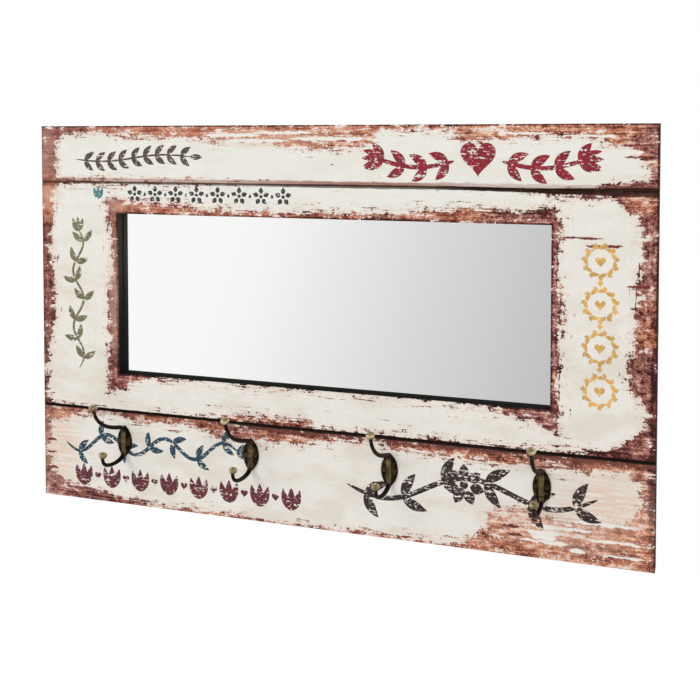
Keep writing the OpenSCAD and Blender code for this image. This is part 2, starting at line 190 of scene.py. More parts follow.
class Graph:
    """A node tree in the making, with one method for any node and a few short forms."""

    def __init__(self, tree: bpy.types.NodeTree) -> None:
        """Empties the tree and starts afresh."""
        tree.nodes.clear()
        self.tree = tree

    def node(
        self,
        kind: str,
        settings: dict[str, object] | None = None,
        sockets: dict[int | str, object] | None = None,
        out: int | str = 0,
    ) -> Wire:
        """Adds any node.

        Args:
            kind: The node's type name.
            settings: Its own settings, set first; "stops" fills a colour ramp.
            sockets: Values or wires for its inputs, by name or number.
            out: The output to hand back.

        Returns:
            A wire on that output.
        """
        made = self.tree.nodes.new(kind)
        for name, value in (settings or {}).items():
            if name == "stops":
                self._fill_ramp(made.color_ramp, value)
            else:
                setattr(made, name, value)
        for key, value in (sockets or {}).items():
            if isinstance(value, Wire):
                self.tree.links.new(value.socket, made.inputs[key])
            else:
                made.inputs[key].default_value = value
        return Wire(self, made.outputs[out])

    @staticmethod
    def _fill_ramp(ramp: bpy.types.ColorRamp, stops: Stops) -> None:
        """Gives a colour ramp its stops.

        Args:
            ramp: A new ramp, with the two stops that Blender gives it.
            stops: Stops as (position, colour), in rising order.
        """
        while len(ramp.elements) < len(stops):
            ramp.elements.new(1.0)
        for element, (position, colour) in zip(ramp.elements, stops):
            element.position = position
            element.color = colour

    def place(self) -> Wire:
        """Gives the point on the piece, in millimetres of the model's frame."""
        where = self.node("ShaderNodeTexCoord", out="Object")
        return self.vector("SCALE", where, {"Scale": 1 / MM})

    def vector(self, operation: str, first: Wire, others: dict[int | str, object]) -> Wire:
        """Adds a Vector Math node on first and the other inputs given."""
        return self.node("ShaderNodeVectorMath", {"operation": operation}, {0: first, **others})

    def split(self, vector: Wire, kind: str = "ShaderNodeSeparateXYZ") -> list[Wire]:
        """Gives the X, Y and Z of a vector, or the channels of a colour."""
        made = self.node(kind, None, {0: vector}).socket.node
        return [Wire(self, socket) for socket in made.outputs]

    def noise(self, where: Wire, size: float | Place, detail: float, roughness: float,
              out: int | str = 0) -> Wire:
        """Adds cloudy noise.

        Args:
            where: The point, in millimetres.
            size: Size of one cloud, in millimetres, or its sizes along X, Y and Z.
            detail: How many finer layers it has.
            roughness: How strong the finer layers are.
            out: 0 for one value, 1 for three.

        Returns:
            Noise around 0.5.
        """
        sizes = (size, size, size) if isinstance(size, float) else size
        scaled = self.vector("DIVIDE", where, {1: sizes})
        sockets = {"Vector": scaled, "Scale": 1.0, "Detail": detail, "Roughness": roughness}
        return self.node("ShaderNodeTexNoise", None, sockets, out)

    def blend(self, factor: Wire | float, first: object, second: object) -> Wire:
        """Mixes two colours, from first at factor 0 to second at factor 1."""
        settings = {"data_type": "RGBA"}
        return self.node("ShaderNodeMix", settings, {0: factor, 6: first, 7: second}, out=2)

    def ramp(self, factor: Wire, stops: Stops) -> Wire:
        """Reads a colour off a ramp of stops."""
        return self.node("ShaderNodeValToRGB", {"stops": stops}, {0: factor})

    def relief(self, height: Wire, depth: float, strength: float) -> Wire:
        """Turns a height between 0 and 1 into a bump of the given depth in millimetres."""
        sockets = {"Height": height, "Distance": depth * MM, "Strength": strength}
        return self.node("ShaderNodeBump", None, sockets)

    def surface(self, sockets: dict[str, object]) -> None:
        """Ends a material in a Principled shader with the given inputs."""
        self.end(self.node("ShaderNodeBsdfPrincipled", None, sockets))

    def end(self, shader: Wire, kind: str = "ShaderNodeOutputMaterial") -> None:
        """Links a shader to the output of a material, or of a world."""
        made = self.tree.nodes.new(kind)
        self.tree.links.new(shader.socket, made.inputs["Surface"])


# ---------------------------------------------------------------- the board's face


def outside(x: Wire, z: Wire, half_width: float, middle: float, half_height: float) -> Wire:
    """Measures how far a point lies outside an upright rectangle; the distance is negative inside."""
    return (abs(x) - half_width).largest(abs(z - middle) - half_height)


@dataclass(frozen=True)
class Face:
    """Where the board's face lies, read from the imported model, in millimetres."""

    left: float
    top: float
    width: float
    height: float
    front: float

    @classmethod
    def of_board(cls) -> "Face":
        """Reads the face from the board's box."""
        low, high = (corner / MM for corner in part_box("board"))
        return cls(low.x, high.z, high.x - low.x, high.z - low.z, low.y)

    def level(self, down: float | Wire) -> float | Wire:
        """Turns millimetres below the top edge into a height in the frame, or back again."""
        return self.top - down

    def places(self, graph: Graph, where: Wire) -> tuple[Wire, Wire]:
        """Gives a point's place on the face, as (across, down)."""
        x, _, z = graph.split(where)
        return x - self.left, self.level(z)

    def spot(self, across: np.ndarray, down: np.ndarray, proud: np.ndarray) -> np.ndarray:
        """Turns places into points, where X grows with across and Z and Y shrink with down and proud."""
        return np.stack([self.left + across, self.front - proud, self.top - down], axis=-1) * MM


@dataclass(frozen=True)
class Opening:
    """The cut-out for the mirror on the board's face, in millimetres."""

    left: float = 117.0
    right: float = 683.0
    top: float = 115.0
    bottom: float = 327.0

    @property
    def half_width(self) -> float:
        """Half the opening's width."""
        return (self.right - self.left) / 2

    @property
    def half_height(self) -> float:
        """Half the opening's height."""
        return (self.bottom - self.top) / 2

    @property
    def middle(self) -> float:
        """How far the opening's middle lies below the board's top edge."""
        return (self.top + self.bottom) / 2


FACE = Face.of_board()
GAP = Opening()
UPPER_DOWN = 74.0
LOWER_DOWN = 376.0


# Place along the band, then reach and age on its first side, then reach and age on its second.
Stop = tuple[float, float, float, float, float]


class Run(Enum):
    """Which way a worn band runs over the face."""

    ACROSS = "across"
    DOWN = "down"


class Growth(Enum):
    """Whether wear grows inwards from a pair of edges or outwards from them."""

    INWARD = "inward"
    OUTWARD = "outward"


@dataclass(frozen=True)
class WornBand:
    """Bare paint along a pair of edges, or along both sides of a groove.

    The stops say how far bare paint reaches from each of the two edges and how dark it is there,
    from 0 for fresh rust to 1 for old maroon. The first edge is the upper or left one.
    """

    run: Run
    growth: Growth
    edges: Point
    stops: tuple[Stop, ...]

    reach_range: ClassVar[float] = 120.0
    reach_floor: ClassVar[float] = -20.0

    def coded(self) -> Stops:
        """Turns the stops into those of a colour ramp as long as the board.

        Returns:
            Stops with the two reaches in red and green and the two ages in blue and alpha.
        """
        coded = []
        for place, first, first_age, second, second_age in self.stops:
            reaches = [(reach - self.reach_floor) / self.reach_range for reach in (first, second)]
            coded.append((place / FACE.width, (*reaches, first_age, second_age)))
        return coded

    def wear(self, graph: Graph, across: Wire, down: Wire) -> tuple[Wire, Wire]:
        """Works out how deep each point lies in the band's bare paint.

        The depth is the reach at the point's place along the band, less its distance from the
        nearer edge: positive in bare paint and negative outside.

        Args:
            graph: The material's graph.
            across: Millimetres from the face's left edge.
            down: Millimetres from its top edge.

        Returns:
            The depth in millimetres and the age.
        """
        along, square = (across, down) if self.run is Run.ACROSS else (down, across)
        read = graph.ramp(along / FACE.width, self.coded())
        first, second, first_age = graph.split(read, "ShaderNodeSeparateColor")
        second_age = read.sibling("Alpha")
        middle, half = sum(self.edges) / 2, (self.edges[1] - self.edges[0]) / 2
        side = (square - middle).rise(-0.01, 0.01)
        beyond = abs(square - middle) - half
        distance = beyond if self.growth is Growth.OUTWARD else -1 * beyond
        reach = (first + (second - first) * side) * self.reach_range + self.reach_floor
        return reach - distance, first_age + (second_age - first_age) * side


OUTER_ENDS = WornBand(Run.DOWN, Growth.INWARD, (0.0, FACE.width), (
    (0, 56, 0.6, 16, 0.5), (14, 30, 0.8, 30, 0.45), (24, 26, 0.85, 34, 0.35),
    (34, 25, 0.85, 28, 0.35), (42, 25, 0.85, 16, 0.6), (58, 26, 0.8, 9, 0.7),
    (68, 26, 0.5, 14, 0.7), (78, 22, 0.1, 40, 0.4), (96, 19, 0.1, 38, 0.45),
    (106, 17, 0.3, 22, 0.55), (118, 19, 0.4, 20, 0.7), (136, 16, 1.0, 20, 0.75),
    (160, 16, 1.1, 20, 0.75), (190, 18, 1.1, 24, 0.6), (220, 20, 1.0, 25, 0.6),
    (250, 20, 1.0, 28, 0.6), (268, 21, 1.0, 34, 0.65), (286, 15, 0.9, 34, 0.65),
    (302, 10, 0.9, 22, 0.65), (318, 9, 0.9, 14, 0.7), (338, 8, 0.9, 14, 0.7),
    (352, 9, 0.9, 26, 0.6), (364, 10, 0.8, 50, 0.55), (375, 12, 0.5, 84, 0.6),
    (384, 14, 0.4, 44, 0.4), (404, 10, 0.8, 20, 0.5), (424, 10, 0.9, 12, 0.5), (446, 11, 0.9, 30, 0.3),
    (470, 14, 0.9, 90, 0.2), (484, 50, 0.95, 140, 0.2), (494, 105, 0.95, 170, 0.2),
))
OUTER_SIDES = WornBand(Run.ACROSS, Growth.INWARD, (0.0, FACE.height), (
    (0, 22, 0.75, 24, 0.85), (40, 12, 0.6, 21, 0.85), (96, 11, 0.2, 17, 0.85), (112, 11, 0.2, 9, 0.6),
    (170, 15, 0.35, 7, 0.6), (205, 14, 0.2, 5, 0.5), (240, 19, 0.2, 6, 0.4), (290, 18, 0.15, 6, 0.4),
    (330, 19, 0.05, 3, 0.3), (362, 29, 0.0, 4, 0.3), (430, 29, 0.0, 5, 0.4), (466, 22, 0.1, 6, 0.4),
    (482, 6, 0.3, 5, 0.4), (562, 6, 0.3, 5, 0.4), (578, 19, 0.2, 9, 0.2), (602, 23, 0.15, 20, 0.05),
    (616, 22, 0.15, 50, 0.0), (650, 16, 0.2, 55, -0.05), (696, 12, 0.4, 46, -0.05),
    (735, 19, 0.3, 42, 0.0), (760, 27, 0.35, 50, 0.15), (784, 30, 0.5, 56, 0.3), (800, 38, 0.9, 60, 0.35),
))
UPPER_GROOVE = WornBand(Run.ACROSS, Growth.OUTWARD, (UPPER_DOWN, UPPER_DOWN), (
    (0, 6, 0.35, 7, 0.4), (60, 5, 0.3, 3, 0.4), (220, 4, 0.3, 1, 0.4), (300, -6, 0.6, -6, 0.5),
    (636, -6, 0.9, -4, 1.0), (684, -4, 1.0, 10, 1.0), (730, 0, 1.0, 11, 1.0),
    (750, 10, 1.0, 9, 0.8), (764, 11, 1.0, 22, 0.4), (785, 12, 0.9, 33, 0.45),
    (800, 12, 0.9, 36, 0.6),
))
LOWER_GROOVE = WornBand(Run.ACROSS, Growth.OUTWARD, (LOWER_DOWN, LOWER_DOWN), (
    (0, 5, 0.6, 22, 0.25), (38, 2, 0.6, 19, 0.2), (68, 1, 0.6, 8, 0.3), (122, 1, 0.6, 5, 0.3),
    (140, 1, 0.5, 13, 0.2), (236, 1, 0.5, 12, 0.3), (248, 10, 0.4, 21, 0.65), (292, 12, 0.4, 25, 0.65),
    (316, 11, 0.4, 23, 0.4), (384, 11, 0.4, 22, 0.5), (396, 3, 0.5, 12, 0.4), (486, 4, 0.5, 9, 0.4),
    (500, 5, 0.5, 17, 0.3), (600, 3, 0.6, 19, 0.35), (700, 7, 0.6, 17, 0.4), (752, 9, 0.7, 19, 0.45),
    (772, 26, 0.7, 21, 0.4), (800, 32, 0.8, 24, 0.5),
))
OPENING_SIDES = WornBand(Run.ACROSS, Growth.OUTWARD, (GAP.top, GAP.bottom), (
    (90, 20, 0.7, 25, 0.7), (112, 22, 0.75, 26, 0.75), (136, 18, 0.6, 15, 0.7), (158, 16, 0.35, 5, 0.7),
    (220, 15, 0.45, 1, 0.7), (236, 9, 0.5, 1, 0.7), (400, 9, 0.5, 1, 0.7), (490, 9, 0.5, 1, 0.7),
    (520, 15, 0.5, 1, 0.7), (606, 17, 0.5, 3, 0.7), (630, 15, 0.6, 11, 0.6), (664, 19, 0.75, 17, 0.75),
    (684, 22, 0.8, 27, 0.8), (710, 20, 0.7, 26, 0.8),
))
OPENING_ENDS = WornBand(Run.DOWN, Growth.OUTWARD, (GAP.left, GAP.right), (
    (90, 20, 0.85, 13, 0.7), (118, 17, 0.85, 12, 0.7), (150, 12, 0.75, 9, 0.65),
    (196, 11, 0.8, 13, 0.7), (232, 16, 0.85, 12, 0.7), (282, 15, 0.8, 9, 0.65),
    (326, 19, 0.85, 12, 0.7), (356, 21, 0.8, 14, 0.8),
))


@dataclass(frozen=True)
class Scratch:
    """A thin mark along the grain, placed on the face in millimetres."""

    start: float
    end: float
    down: float
    half: float

    def mark(self, across: Wire, down: Wire) -> Wire:
        """Draws the mark, which thins towards its ends.

        Args:
            across: Millimetres from the face's left edge.
            down: Millimetres from its top edge.

        Returns:
            1 in the mark and 0 away from it.
        """
        middle, reach = (self.start + self.end) / 2, (self.end - self.start) / 2
        thin = abs(across - middle).rise(reach * 0.5, reach, self.half + 0.6)
        return (abs(down - self.down) + thin).fall(self.half * 0.7, self.half * 1.3)


CREAM_STREAKS = (
    Scratch(236, 330, 12.5, 2.2), Scratch(300, 404, 9.5, 1.8), Scratch(262, 372, 19.5, 1.9),
    Scratch(350, 476, 17.0, 2.1), Scratch(612, 690, 11.0, 1.4), Scratch(706, 760, 14.0, 1.3),
    Scratch(700, 792, 452.0, 1.7), Scratch(648, 742, 462.0, 1.8), Scratch(716, 794, 471.0, 1.5),
    Scratch(640, 716, 480.0, 1.4), Scratch(736, 796, 487.0, 1.3), Scratch(744, 788, 32.0, 3.0),
    Scratch(650, 704, 469.5, 2.2), Scratch(660, 694, 474.5, 3.0), Scratch(668, 708, 480.5, 2.4),
    Scratch(704, 726, 486.0, 2.4),
)
SCRATCHES = (
    Scratch(754, 798, 24.0, 1.1), Scratch(758, 798, 37.0, 1.1),
    Scratch(716, 768, 137.0, 1.5), Scratch(684, 748, 128.5, 1.1), Scratch(762, 796, 181.0, 1.4),
    Scratch(2, 22, 424.0, 1.6), Scratch(4, 20, 441.0, 1.5), Scratch(0, 24, 462.0, 1.7),
    Scratch(624, 652, 466.0, 1.6), Scratch(632, 656, 475.0, 1.3),
)


@dataclass(frozen=True)
class Smear:
    """An oval of thinly rubbed cream paint, placed on the face in millimetres."""

    across: float
    down: float
    half_width: float
    half_height: float

    def mark(self, graph: Graph, across: Wire, down: Wire) -> Wire:
        """Draws the oval with a soft edge.

        Args:
            graph: The material's graph.
            across: Millimetres from the face's left edge.
            down: Millimetres from its top edge.

        Returns:
            How thin the paint is: 1 in the middle of the oval and 0 outside it.
        """
        off = graph.node("ShaderNodeCombineXYZ", None, {
            0: (across - self.across) / self.half_width,
            1: (down - self.down) / self.half_height,
        })
        return graph.node("ShaderNodeVectorMath", {"operation": "LENGTH"}, {0: off}, 1).fall(0.2, 1.0)


SMEARS = (
    Smear(24, 436, 54, 64), Smear(744, 432, 84, 60), Smear(330, 17, 110, 15), Smear(700, 462, 120, 40),
    Smear(10, 40, 26, 42), Smear(14, 92, 26, 24), Smear(116, 104, 30, 15), Smear(111, 222, 14, 112),
)


@dataclass(frozen=True)
class Finish:
    """Base of the finishes: makes its material once and hands it out."""

    name: str
    made: ClassVar[dict[str, bpy.types.Material]] = {}

    def material(self) -> bpy.types.Material:
        """Makes the finish's material at the first call and keeps it for the others.

        Returns:
            The material.
        """
        if self.name not in self.made:
            material = bpy.data.materials.new(f"finish_{self.name}")
            material.use_nodes = True
            self.made[self.name] = material
            self.dress(Graph(material.node_tree))
        return self.made[self.name]

    def dress(self, graph: Graph) -> None:
        """Builds the finish's nodes."""
        raise NotImplementedError


@dataclass(frozen=True)
class Mottle:
    """Noises that break up the paint, each from -0.5 to 0.5, from long streaks to fine specks."""

    grain: Wire
    streak: Wire
    cloud: Wire
    patch: Wire
    blotch: Wire
    speck: Wire


@dataclass(frozen=True)
class WornPaint(Finish):
    """Cream paint over older rust and maroon coats, worn along edges, border and grooves."""

    name: str = "worn_cream_paint"
    face: Face = FACE
    gap: Opening = GAP
    push_cloud: Place = (22.0, 22.0, 14.0)
    push_reach: Place = (22.0, 0.0, 16.0)
    age_fade: float = 9.0
    grain_reach: float = 24.0
    grain_calm: float = 17.0
    blotch_reach: float = 38.0
    speck_reach: float = 20.0
    paint_depth: float = 1.0

    cream: Colour = tint(232, 228, 220)
    cream_shade: Colour = tint(222, 215, 203)
    cream_cool: Colour = tint(231, 232, 225)
    blush: Colour = tint(226, 203, 190)
    fleck: Colour = tint(150, 124, 108)
    # Groove line colours: dark joints with painted shade in the grooves, browner in the upper one.
    groove_shade: Colour = tint(26, 16, 12)
    groove_brown_shade: Colour = tint(36, 15, 9)
    plank_rust: Colour = tint(150, 92, 78)
    rubbed: Colour = tint(222, 184, 162)
    scrape: Colour = tint(112, 52, 44)
    side_dark: Colour = tint(66, 36, 28)
    side_light: Colour = tint(104, 62, 44)
    stain: Colour = tint(64, 62, 53)
    stain_low: Colour = tint(21, 22, 17)
    # Near-black painted shade where the reveal meets the glass.
    reveal_corner_shade: Colour = tint(8, 7, 5)
    fibre: Colour = tint(186, 157, 124)
    fibre_dark: Colour = tint(150, 120, 90)
    rust: Stops = ladder(
        tint(240, 216, 198), tint(218, 168, 140), tint(192, 130, 102),
        tint(162, 96, 74), tint(112, 56, 42), tint(58, 24, 18),
    )
    maroon: Stops = ladder(
        tint(230, 206, 196), tint(200, 156, 144), tint(164, 112, 100),
        tint(132, 80, 72), tint(94, 46, 44), tint(50, 18, 20),
    )

    def worn(self, graph: Graph, where: Wire) -> tuple[Wire, Wire]:
        """Works out how deep each point of the face lies in worn paint, and the paint's age.

        The point is first pushed about by cloudy noise, so that no edge stays straight. Round the
        opening, a point is worn where it lies within the reach both across and down; elsewhere
        the band in which it lies deepest counts.

        Args:
            graph: The material's graph.
            where: The point in millimetres.

        Returns:
            The depth in millimetres and the age from 0 to 1.
        """
        push = graph.noise(where, self.push_cloud, 4.0, 0.6, out=1)
        centred = graph.vector("SUBTRACT", push, {1: (0.5, 0.5, 0.5)})
        moved = graph.vector("MULTIPLY_ADD", centred, {1: self.push_reach, 2: where})
        across, down = self.face.places(graph, moved)
        depth, age = OPENING_SIDES.wear(graph, across, down)
        end_depth, end_age = OPENING_ENDS.wear(graph, across, down)
        at_ends = (depth - end_depth).rise(-1.0, 1.0)
        depth, age = depth.smallest(end_depth), age + (end_age - age) * at_ends
        age = age * depth.rise(-self.age_fade, 0.0)
        for band in (UPPER_GROOVE, LOWER_GROOVE, OUTER_SIDES, OUTER_ENDS):
            band_depth, band_age = band.wear(graph, across, down)
            age = age.largest(band_age * band_depth.rise(-self.age_fade, 0.0))
            depth = depth.largest(band_depth)
        return depth, age

    def mottle(self, graph: Graph, where: Wire) -> Mottle:
        """Makes the paint's noises.

        Args:
            graph: The material's graph.
            where: The point in millimetres.

        Returns:
            The noises; grain and streak stand upright beside the mirror.
        """
        x, _, z = graph.split(where)
        gap = self.gap
        beside = abs(x).rise(gap.half_width - 9.0, gap.half_width + 9.0)
        height = abs(z - self.face.level(gap.middle))
        upright = beside.smallest(height.fall(gap.half_height + 6.0, gap.half_height + 30.0))
        return Mottle(
            grain=self.grained(graph, where, 26.0, 2.2, upright),
            streak=self.grained(graph, where, 46.0, 2.6, upright),
            cloud=graph.noise(where, (60.0, 60.0, 30.0), 4.0, 0.6) - 0.5,
            patch=graph.noise(where, (26.0, 12.0, 10.0), 3.0, 0.6) - 0.5,
            blotch=graph.noise(where, (8.0, 8.0, 5.5), 5.0, 0.7) - 0.5,
            speck=graph.noise(where, (2.4, 2.4, 1.8), 2.0, 0.6) - 0.5,
        )

    def grained(self, graph: Graph, where: Wire, length: float, thick: float, upright: Wire) -> Wire:
        """Adds stretched noise round 0 that runs along the planks, and upright beside the mirror.

        Args:
            graph: The material's graph.
            where: The point in millimetres.
            length: Length of one streak.
            thick: Its thickness.
            upright: 1 where the streaks stand upright.

        Returns:
            The noise, between -0.5 and 0.5.
        """
        lying = graph.noise(where, (length, 7.0, thick), 3.0, 0.6)
        standing = graph.noise(where, (thick * 1.6, 7.0, length * 0.6), 3.0, 0.6)
        return lying + (standing - lying) * upright - 0.5

    def coats(self, graph: Graph, where: Wire, rim: Wire) -> tuple[Wire, Wire, Wire]:
        """Paints the face.

        Grain streaks and blotches of noise, worth a few millimetres, are added to the depth, and
        the cream paint is gone where the sum, the level, passes zero. The ends of the upper two
        planks are less ragged than the rest.

        Args:
            graph: The material's graph.
            where: The point in millimetres.
            rim: How much darker bare paint is here, next to a cut edge.

        Returns:
            The colour, how bare the point is, and a fine relief of brush and grain.
        """
        depth, age = self.worn(graph, where)
        across, down = self.face.places(graph, where)
        noise = self.mottle(graph, where)
        calm = abs(across - self.face.width / 2).rise(300.0, 340.0, self.grain_calm)
        calm = calm.smallest(down.fall(LOWER_DOWN - 10.0, LOWER_DOWN + 4.0, self.grain_calm))
        ragged = noise.grain * (self.grain_reach - calm)
        ragged = ragged + noise.blotch * self.blotch_reach + noise.speck * self.speck_reach
        level = depth.largest(-22.0).smallest(age * 5.0 + 6.0) + ragged * (1.12 - age * 0.4)
        level = level - noise.patch.rise(0.06, 0.2, 10.0) + noise.streak.rise(0.1, 0.2, 12.0) - 2.0
        bare = level.rise(-0.7, 0.7)

        thin = SMEARS[0].mark(graph, across, down)
        for smear in SMEARS[1:]:
            thin = thin.largest(smear.mark(graph, across, down))
        thin = thin * (noise.streak * 2.4 + noise.speck * 1.6 + 0.6).rise(0.2, 0.8)
        contrast = (across + down).climb(0.55, (80.0, 640.0, 0.5))
        old = self.old_coat(graph, noise, age, contrast, level.fall(0.6, 2.4, 0.26) + rim)
        old = graph.blend(thin * 0.4, old, self.rubbed)
        colour = graph.blend(bare, self.cream_coat(graph, noise, level, down, thin), old)
        wobble = down + noise.blotch * 8.0
        for marks, paint in ((CREAM_STREAKS, self.cream), (SCRATCHES, self.scrape)):
            for scratch in marks:
                colour = graph.blend(scratch.mark(across, wobble), colour, paint)
        return colour, bare, noise.grain * 0.5 + noise.speck * 0.4 + noise.blotch * 0.3 + 0.5

    def old_coat(self, graph: Graph, noise: Mottle, age: Wire, contrast: Wire, darker: Wire) -> Wire:
        """Mixes the older coats, rust where they are young and maroon where they are old.

        Args:
            graph: The material's graph.
            noise: The paint's noises, which make it patchy and streaked along the planks.
            age: Its age from 0 to 1.
            contrast: How strong the noises are here.
            darker: What is added to the tone next to flaked paint and cut edges.

        Returns:
            The colour.
        """
        tone = noise.blotch * 2.0 - noise.patch * 1.5 + noise.streak * 1.3 + noise.speck * 1.2
        tone = tone * contrast + age * 0.27 + 0.34 + darker
        maroon_share = (age + noise.cloud * 1.2).rise(0.36, 0.72)
        return graph.blend(maroon_share, graph.ramp(tone, self.rust), graph.ramp(tone, self.maroon))

    def cream_coat(self, graph: Graph, noise: Mottle, level: Wire, down: Wire, thin: Wire) -> Wire:
        """Mixes the cream coat, cooler near the top and blushing next to worn paint.

        Args:
            graph: The material's graph.
            noise: The paint's noises.
            level: How deep the point lies in worn paint; negative in the cream.
            down: Millimetres below the top edge.
            thin: How thinly rubbed the coat is, from 0 to 1.

        Returns:
            The colour.
        """
        cool = down.fall(80.0, 220.0, 0.6).largest(noise.blotch.rise(0.02, 0.2, 0.7))
        colour: object = self.cream
        for share, over in (
            (noise.cloud.rise(-0.06, 0.12), self.cream_shade),
            (cool, self.cream_cool),
            (level.rise(-10.0, -0.5, 0.8), self.blush),
            (thin * 0.8, self.rubbed),
            (noise.grain.rise(0.06, 0.2, 0.45), self.cream_shade),
            (noise.speck.rise(-0.08, 0.12, 0.4), self.cream_shade),
            (noise.speck.rise(0.17, 0.26, 0.35), self.fleck),
        ):
            colour = graph.blend(share, colour, over)
        return colour

    def groove_shade_lines(self, graph: Graph, where: Wire) -> Wire:
        """Draws the dark lines of the two grooves between the planks: dark joints, with painted shade in
        the grooves.

        The upper line is fainter at the left, and widens and sinks towards the right end, where the
        widening is a painted shadow.

        Args:
            graph: The material's graph.
            where: The point in millimetres.

        Returns:
            How dark the point is, from 0 away from the lines to 1.
        """
        x, _, z = graph.split(where)
        end = self.face.width / 2
        ragged = (graph.noise(where, (14.0, 14.0, 4.0), 3.0, 0.6) - 0.5) * 2.0
        # Painted shadow: the upper line widens towards the right end.
        painted_shadow_widen = x.climb(0.0, (0.6 * end, end, 3.0), (-end / 4, end / 10, 0.5))
        sag = x.rise(0.4 * end, 0.72 * end, 1.7)
        upper = abs(z - self.face.level(UPPER_DOWN + 0.5) + sag) + ragged - painted_shadow_widen
        dark = x.climb(0.65, (-90.0, -40.0, 0.14), (110.0, 200.0, 0.2), (290.0, 350.0, -0.12))
        sag = x.climb(0.0, (-140.0, -120.0, 1.2), (290.0, 350.0, -0.8))
        lower = abs(z - self.face.level(LOWER_DOWN) + sag) + ragged
        return (upper.fall(1.3, 2.2) * dark).largest(lower.fall(1.7, 2.5))

    def plank_edges(self, graph: Graph, where: Wire) -> Wire:
        """Gives how rusty the planks' edges are: just above the upper groove and below the lower.

        Args:
            graph: The material's graph.
            where: The point in millimetres.

        Returns:
            The share of rust, greatest near the middle of the upper groove.
        """
        x, _, z = graph.split(where)
        end = self.face.width / 2
        ragged = (graph.noise(where, (18.0, 18.0, 4.0), 4.0, 0.65) - 0.5) * 7.0
        above = z - self.face.level(UPPER_DOWN) + ragged
        amount = x.climb(0.55, (-end / 2, end / 6, 0.35), (0.2 * end, 0.6 * end, -0.5))
        upper = above.rise(-1.0, 0.5).smallest(above.fall(4.4, 6.4)) * amount
        below = self.face.level(LOWER_DOWN) - z + ragged
        return upper.largest(abs(below - 5.2).fall(1.6, 3.2, 0.36))

    def rim_shade(self, x: Wire, z: Wire, inner: Wire) -> Wire:
        """Darkens bare paint at the board's ends and top, round the opening and at the grooves.

        Args:
            x: The point's place across, from the board's middle, in millimetres.
            z: Its height in the frame.
            inner: How far it lies outside the opening.

        Returns:
            What is added to the tone of bare paint.
        """
        end = self.face.width / 2
        ends = (abs(x) - end).largest(z - self.face.top)
        rim = ends.rise(-2.4, -0.8, 0.6).largest(inner.fall(1.2, 3.2, 0.4))
        for down in (UPPER_DOWN, LOWER_DOWN):
            rim = rim.largest(abs(z - self.face.level(down)).fall(3.5, 8.0, 0.26))
        char = x.rise(end - 10.0, end - 3.0, 0.36).smallest(z.fall(-190.0, -150.0))
        below = self.face.level(LOWER_DOWN) - z
        soot = below.rise(-1.0, 0.5).smallest(below.fall(5.5, 11.0))
        return rim.largest(char).largest(soot * x.climb(0.26, (-150.0, -80.0, 0.32)))

    def sides(self, graph: Graph, y: Wire, z: Wire, outer: Wire, inner: Wire, grit: Wire) -> Wire:
        """Colours what lies behind the face: cut edges, the opening's reveal and the raw back. The reveal
        is darker towards its bottom and turns near-black by the glass, a painted shade.

        Args:
            graph: The material's graph.
            y: The point's place towards the wall, in millimetres.
            z: Its height.
            outer: How far it lies outside the board's outline.
            inner: How far it lies outside the opening.
            grit: The fibreboard's fine noise.

        Returns:
            The colour.
        """
        # Painted shade: the reveal turns near-black where it meets the glass.
        deep = y.rise(self.face.front + 9.0, self.face.front + 11.5, 0.8)
        reveal = graph.blend(z.rise(-235.0, -95.0), self.stain_low, self.stain)
        reveal = graph.blend(deep, reveal, self.reveal_corner_shade)
        edge = graph.blend(grit.rise(0.5, 0.7, 0.7), self.side_dark, self.side_light)
        cut = graph.blend(outer.rise(-0.7, -0.5), reveal, edge)
        back = graph.blend(grit.rise(0.38, 0.66), self.fibre_dark, self.fibre)
        return graph.blend(outer.fall(-0.7, -0.5).smallest(inner.rise(0.5, 0.7)), cut, back)

    def dress(self, graph: Graph) -> None:
        """Paints the front, stains the cut edges and leaves the back as raw fibreboard; the grooves and
        the reveal's corner by the glass get painted shade.

        Args:
            graph: The material's graph.
        """
        where = graph.place()
        x, y, z = graph.split(where)
        face, gap = self.face, self.gap
        outer = outside(x, z, face.width / 2, face.level(face.height / 2), face.height / 2)
        inner = outside(x, z, gap.half_width, face.level(gap.middle), gap.half_height)
        colour, bare, film = self.coats(graph, where, self.rim_shade(x, z, inner))
        grit = graph.noise(where, 1.6, 4.0, 0.7)
        behind = y.rise(face.front + self.paint_depth, face.front + self.paint_depth + 0.4)
        colour = graph.blend(behind, colour, self.sides(graph, y, z, outer, inner, grit))
        colour = graph.blend(self.plank_edges(graph, where) * (1 - behind), colour, self.plank_rust)
        # Groove lines: dark joints, with painted shade in the grooves.
        line = self.groove_shade_lines(graph, where).smallest(y.fall(face.front + 2.6, face.front + 3.0))
        shade = graph.blend(z.rise(-60.0, -50.0), self.groove_shade, self.groove_brown_shade)
        graph.surface({
            "Base Color": graph.blend(line, colour, shade),
            "Roughness": (0.46 + bare * 0.16) * (1 - behind) + behind * 0.85,
            "Specular IOR Level": 0.2,
            "Normal": graph.relief(film + grit * behind, 0.35, 0.5),
        })


